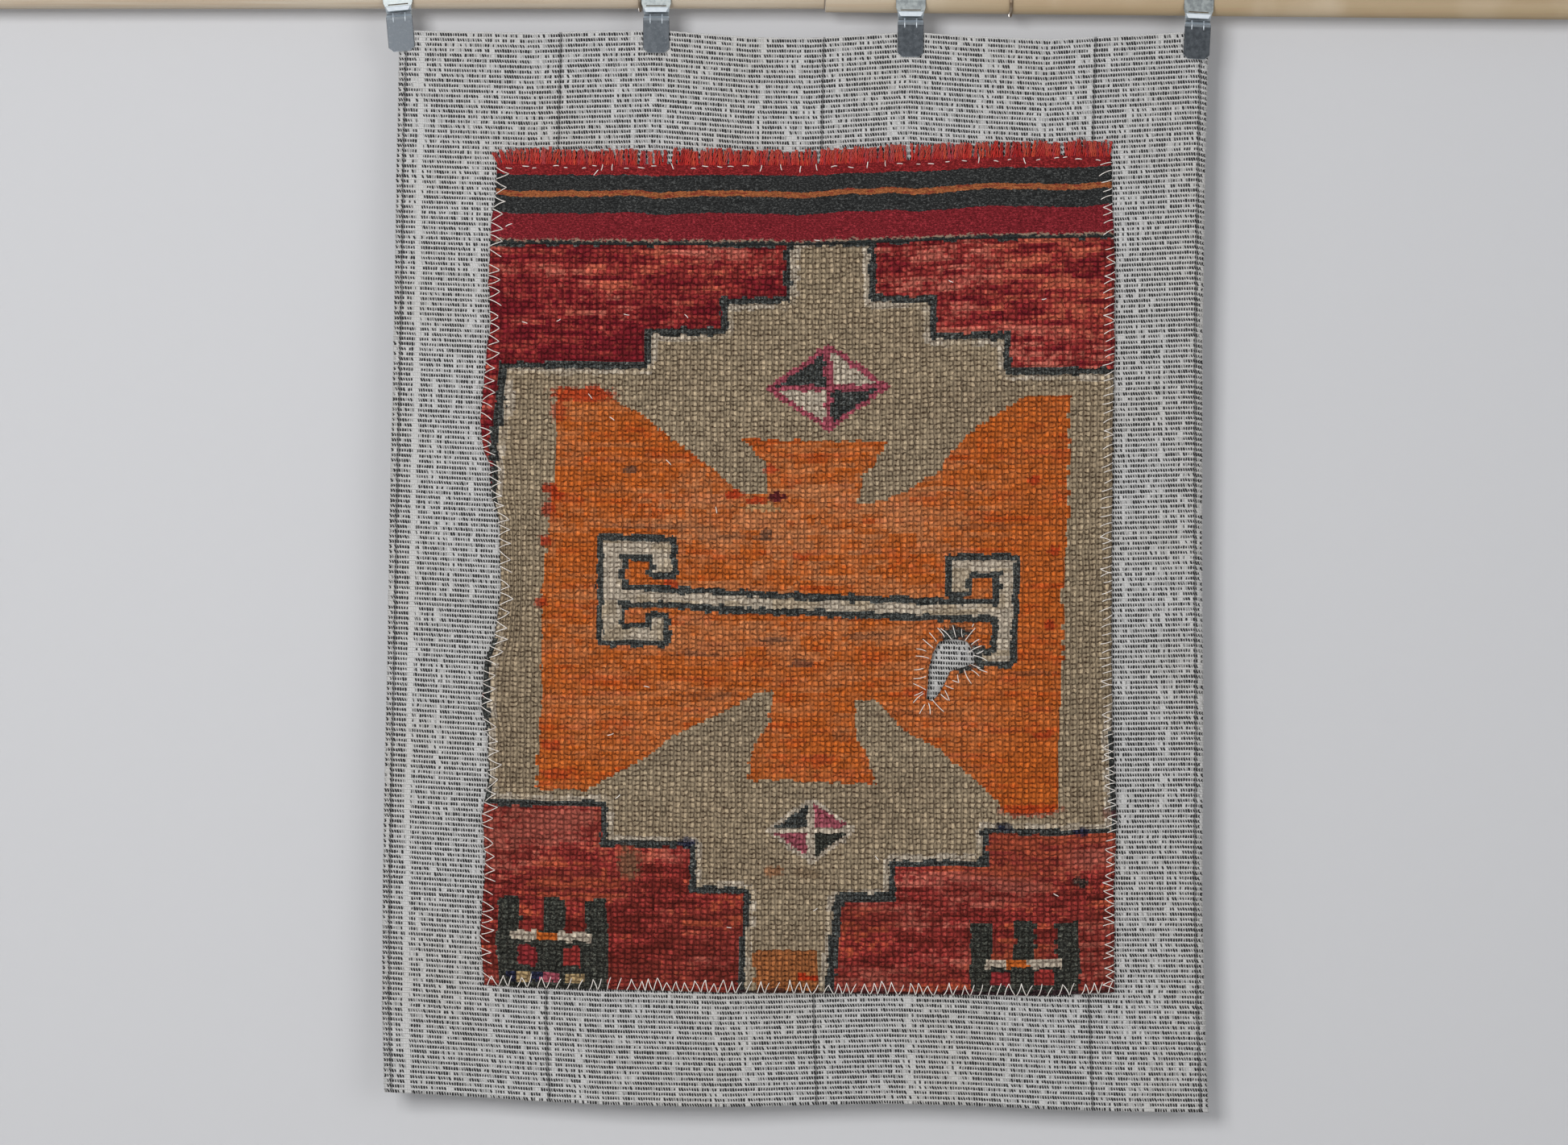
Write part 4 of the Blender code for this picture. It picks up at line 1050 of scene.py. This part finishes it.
def make_sewing():
    rng = random.Random(19)
    paths = []

    def sew(start, end):
        paths.append(stitch(start, end))

    down = 0.176
    while down < 0.944:
        pitch = rng.uniform(*LEFT_PITCH)
        edge = side_at(RUG_LEFT, down / MM) * MM
        reach = rng.uniform(*LEFT_REACH)
        apex = (edge + reach, down + pitch * rng.uniform(0.40, 0.65))
        sew((edge - STITCH_OUT, down), apex)
        if rng.random() < 0.85:
            sew(apex, (edge - STITCH_OUT, down + pitch * rng.uniform(0.85, 1.0)))
        down += pitch
    down = 0.172
    while down < 0.950:
        pitch = rng.uniform(*RIGHT_PITCH)
        edge = side_at(RUG_RIGHT, down / MM) * MM
        reach = rng.uniform(*RIGHT_REACH)
        apex = (edge - reach, down + rng.uniform(*RIGHT_DROP))
        sew((edge + STITCH_OUT, down), apex)
        if rng.random() < (0.55 if down > 0.68 else 0.12):
            sew(apex, (edge + STITCH_OUT, apex[1] + pitch * 0.6))
        down += pitch
    across = -0.280
    while across < 0.308:
        pitch = rng.uniform(*BOTTOM_PITCH)
        bottom = end_at(RUG_BOTTOM, across / MM) * MM
        reach = rng.uniform(*BOTTOM_REACH)
        apex = (across + pitch * rng.uniform(0.35, 0.65), bottom - reach)
        sew((across, bottom + STITCH_OUT), apex)
        if rng.random() < 0.6:
            sew(apex, (across + pitch, bottom + STITCH_OUT))
        across += pitch
    across = -0.262
    while across < 0.302:
        down = end_at(RUG_TOP, across / MM) * MM + rng.uniform(0.0018, 0.0052)
        if rng.random() < 0.7:
            end = (across + rng.uniform(0.003, 0.0065), down + rng.uniform(-0.001, 0.001))
            sew((across, down), end)
        else:
            sew((across, down - 0.003), (across + rng.uniform(-0.002, 0.003), down + 0.003))
        across += rng.uniform(0.008, 0.020)
    for x, y, end_x, end_y in HOLE_STITCHES:
        sew(from_pixel(x, y), from_pixel(end_x, end_y))
    for x, y, length, turn in CATCHES:
        half_x, half_y = math.cos(turn) * length / 2, math.sin(turn) * length / 2
        sew(from_pixel(x - half_x, y - half_y), from_pixel(x + half_x, y + half_y))
    verts, faces = tubes(paths, 0.00042, 5)
    return new_piece("white_sewing", verts, faces, thread_material())


backing = make_backing()
pile = make_pile()
cut_hole(pile)
flat_end = make_flat_end()
fringe = make_fringe()
sewing = make_sewing()
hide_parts("backing_cloth")
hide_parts("rug_fragment")
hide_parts("rug_fragment")
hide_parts("fringe")

# Hardware materials, by the last or first word of a node's name
FINISHES = {
    "rail": wood_material(),
    "hook": wire_material(),
    # The clip's parts are one zinc-plated steel in lit and shaded copies: the jaw's darker steel is painted
    # shade, the lever's near-white steel a painted reflection.
    "strap": steel_material("zinc_strap", (112, 117, 118), (140, 145, 144), 0.42),
    "jaw": steel_material("zinc_jaw_painted_shade", (55, 59, 63), (69, 73, 77), 0.40),
    "lever": steel_material("zinc_lever_painted_reflection", (226, 230, 232), (246, 248, 249), 0.38, 0.25)}
for name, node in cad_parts.items():
    for word in set(name.split("_")) & set(FINISHES):
        node.data.materials.clear()
        node.data.materials.append(FINISHES[word])

# Two pressed ribs over each front jaw's top bend: how far across, and depth and height along them, in mm
RIB_ACROSS = 5.6
RIB_PATH = [(1, -19.4), (0.5, -21.3), (-0.6, -23), (-0.75, -24.6), (-0.65, -26.6), (-0.35, -28.4)]
RIB_RADIUS = 0.00075
CLIP_TILTS = (-5, 0, 0.5, 3)
JAW_PLANE_Y = -0.0135
RAIL_RADIUS = 0.0125
RAIL_JOINT_X = 0.0388
RAIL_STEP = 0.0032
RAIL_SLOPE = math.radians(0.57)
STRAP_WIDTH = 0.028


def make_ribs():
    paths = []
    for across, tilt in zip(CLIP_ACROSS, CLIP_TILTS):
        slope, step = (RAIL_SLOPE, RAIL_STEP) if across > RAIL_JOINT_X else (0.0, 0.0)
        turn = math.radians(tilt)
        lift = STRAP_WIDTH / 2 * abs(math.sin(turn - slope))
        height = lift - RAIL_RADIUS - step - (across - RAIL_JOINT_X) * math.tan(slope)
        for side in (-RIB_ACROSS, RIB_ACROSS):
            path = []
            for depth, up in RIB_PATH:
                x = side * math.cos(turn) + up * math.sin(turn)
                z = up * math.cos(turn) - side * math.sin(turn)
                path.append((across + x * MM, JAW_PLANE_Y + depth * MM, height + z * MM))
            paths.append(path)
    verts, faces = tubes(paths, RIB_RADIUS, 8, 0.8)
    # The ribs' paler steel is a painted highlight on the same zinc plating.
    material = steel_material("zinc_rib_painted_highlight", (150, 157, 163), (186, 192, 197), 0.38, 0.6)
    return new_piece("clip_ribs", verts, faces, material)


make_ribs()

# Floor and wall
def make_stage(name, size, place, turn, rgb):
    x, y = size[0] / 2, size[1] / 2
    panel = new_object(name, [(-x, -y, 0), (x, -y, 0), (x, y, 0), (-x, y, 0)], [(0, 1, 2, 3)])
    panel.location, panel.rotation_euler = place, turn
    t = Tree(name)
    panel.data.materials.append(t.finish(dye(rgb), 0.95))
    return panel, t


WALL_Y = 0.030
make_stage("floor", (9.0, 7.0), (0, -1.6, -1.60), (0, 0, 0), (214, 213, 210))
wall, t = make_stage("wall", (9.0, 5.0), (0, WALL_Y, 0.55), (math.pi / 2, 0, 0), (185, 185, 187))

# The wall is clear from behind. It is so near that it would keep all light from the cloth's back, so only
# the camera sees it.
back_faces = t.node("NewGeometry")["Backfacing"]
clear = t.node("BsdfTransparent")[0]
surface = t.node("MixShader", {0: back_faces, 1: t.shader.outputs[0], 2: clear})[0]
t.put(t.nodes["Material Output"].inputs["Surface"], surface)
wall.visible_diffuse = wall.visible_glossy = wall.visible_transmission = wall.visible_shadow = False


def add_light(name, place, aim, size, power):
    light = bpy.data.lights.new(name, "AREA")
    light.size = size
    light.energy = power
    lamp = bpy.data.objects.new(name, light)
    bpy.context.scene.collection.objects.link(lamp)
    lamp.location = place
    lamp.rotation_euler = (Vector(aim) - Vector(place)).to_track_quat("-Z", "Y").to_euler()
    return lamp


add_light("key", (-1.3, -3.4, 0.30), (0, 0, -0.5), 1.3, 95)
add_light("fill", (2.0, -3.2, -0.2), (0, 0, -0.6), 2.0, 28)
behind = add_light("behind", (-0.8, 3.0, 0.5), (0, 0, -0.5), 1.6, 40)
behind.visible_camera = False
world = bpy.data.worlds.new("soft_room")
bpy.context.scene.world = world
world.use_nodes = True
sky = world.node_tree.nodes["Background"].inputs
sky["Color"].default_value = (0.92, 0.95, 1, 1)
sky["Strength"].default_value = 0.405

# Camera, square on to the cloth
PICTURE_WIDE = 1.479
CAMERA_AWAY = 3.6
CAMERA_Z = -0.5585
camera_data = bpy.data.cameras.new("camera")
camera_data.lens = camera_data.sensor_width * CAMERA_AWAY / PICTURE_WIDE
camera = bpy.data.objects.new("camera", camera_data)
bpy.context.scene.collection.objects.link(camera)
camera.location = (0, BACKING_FRONT_Y - CAMERA_AWAY, CAMERA_Z)
camera.rotation_euler = (math.pi / 2, 0, 0)
bpy.context.scene.camera = camera
bpy.context.scene.view_settings.view_transform = "Standard"
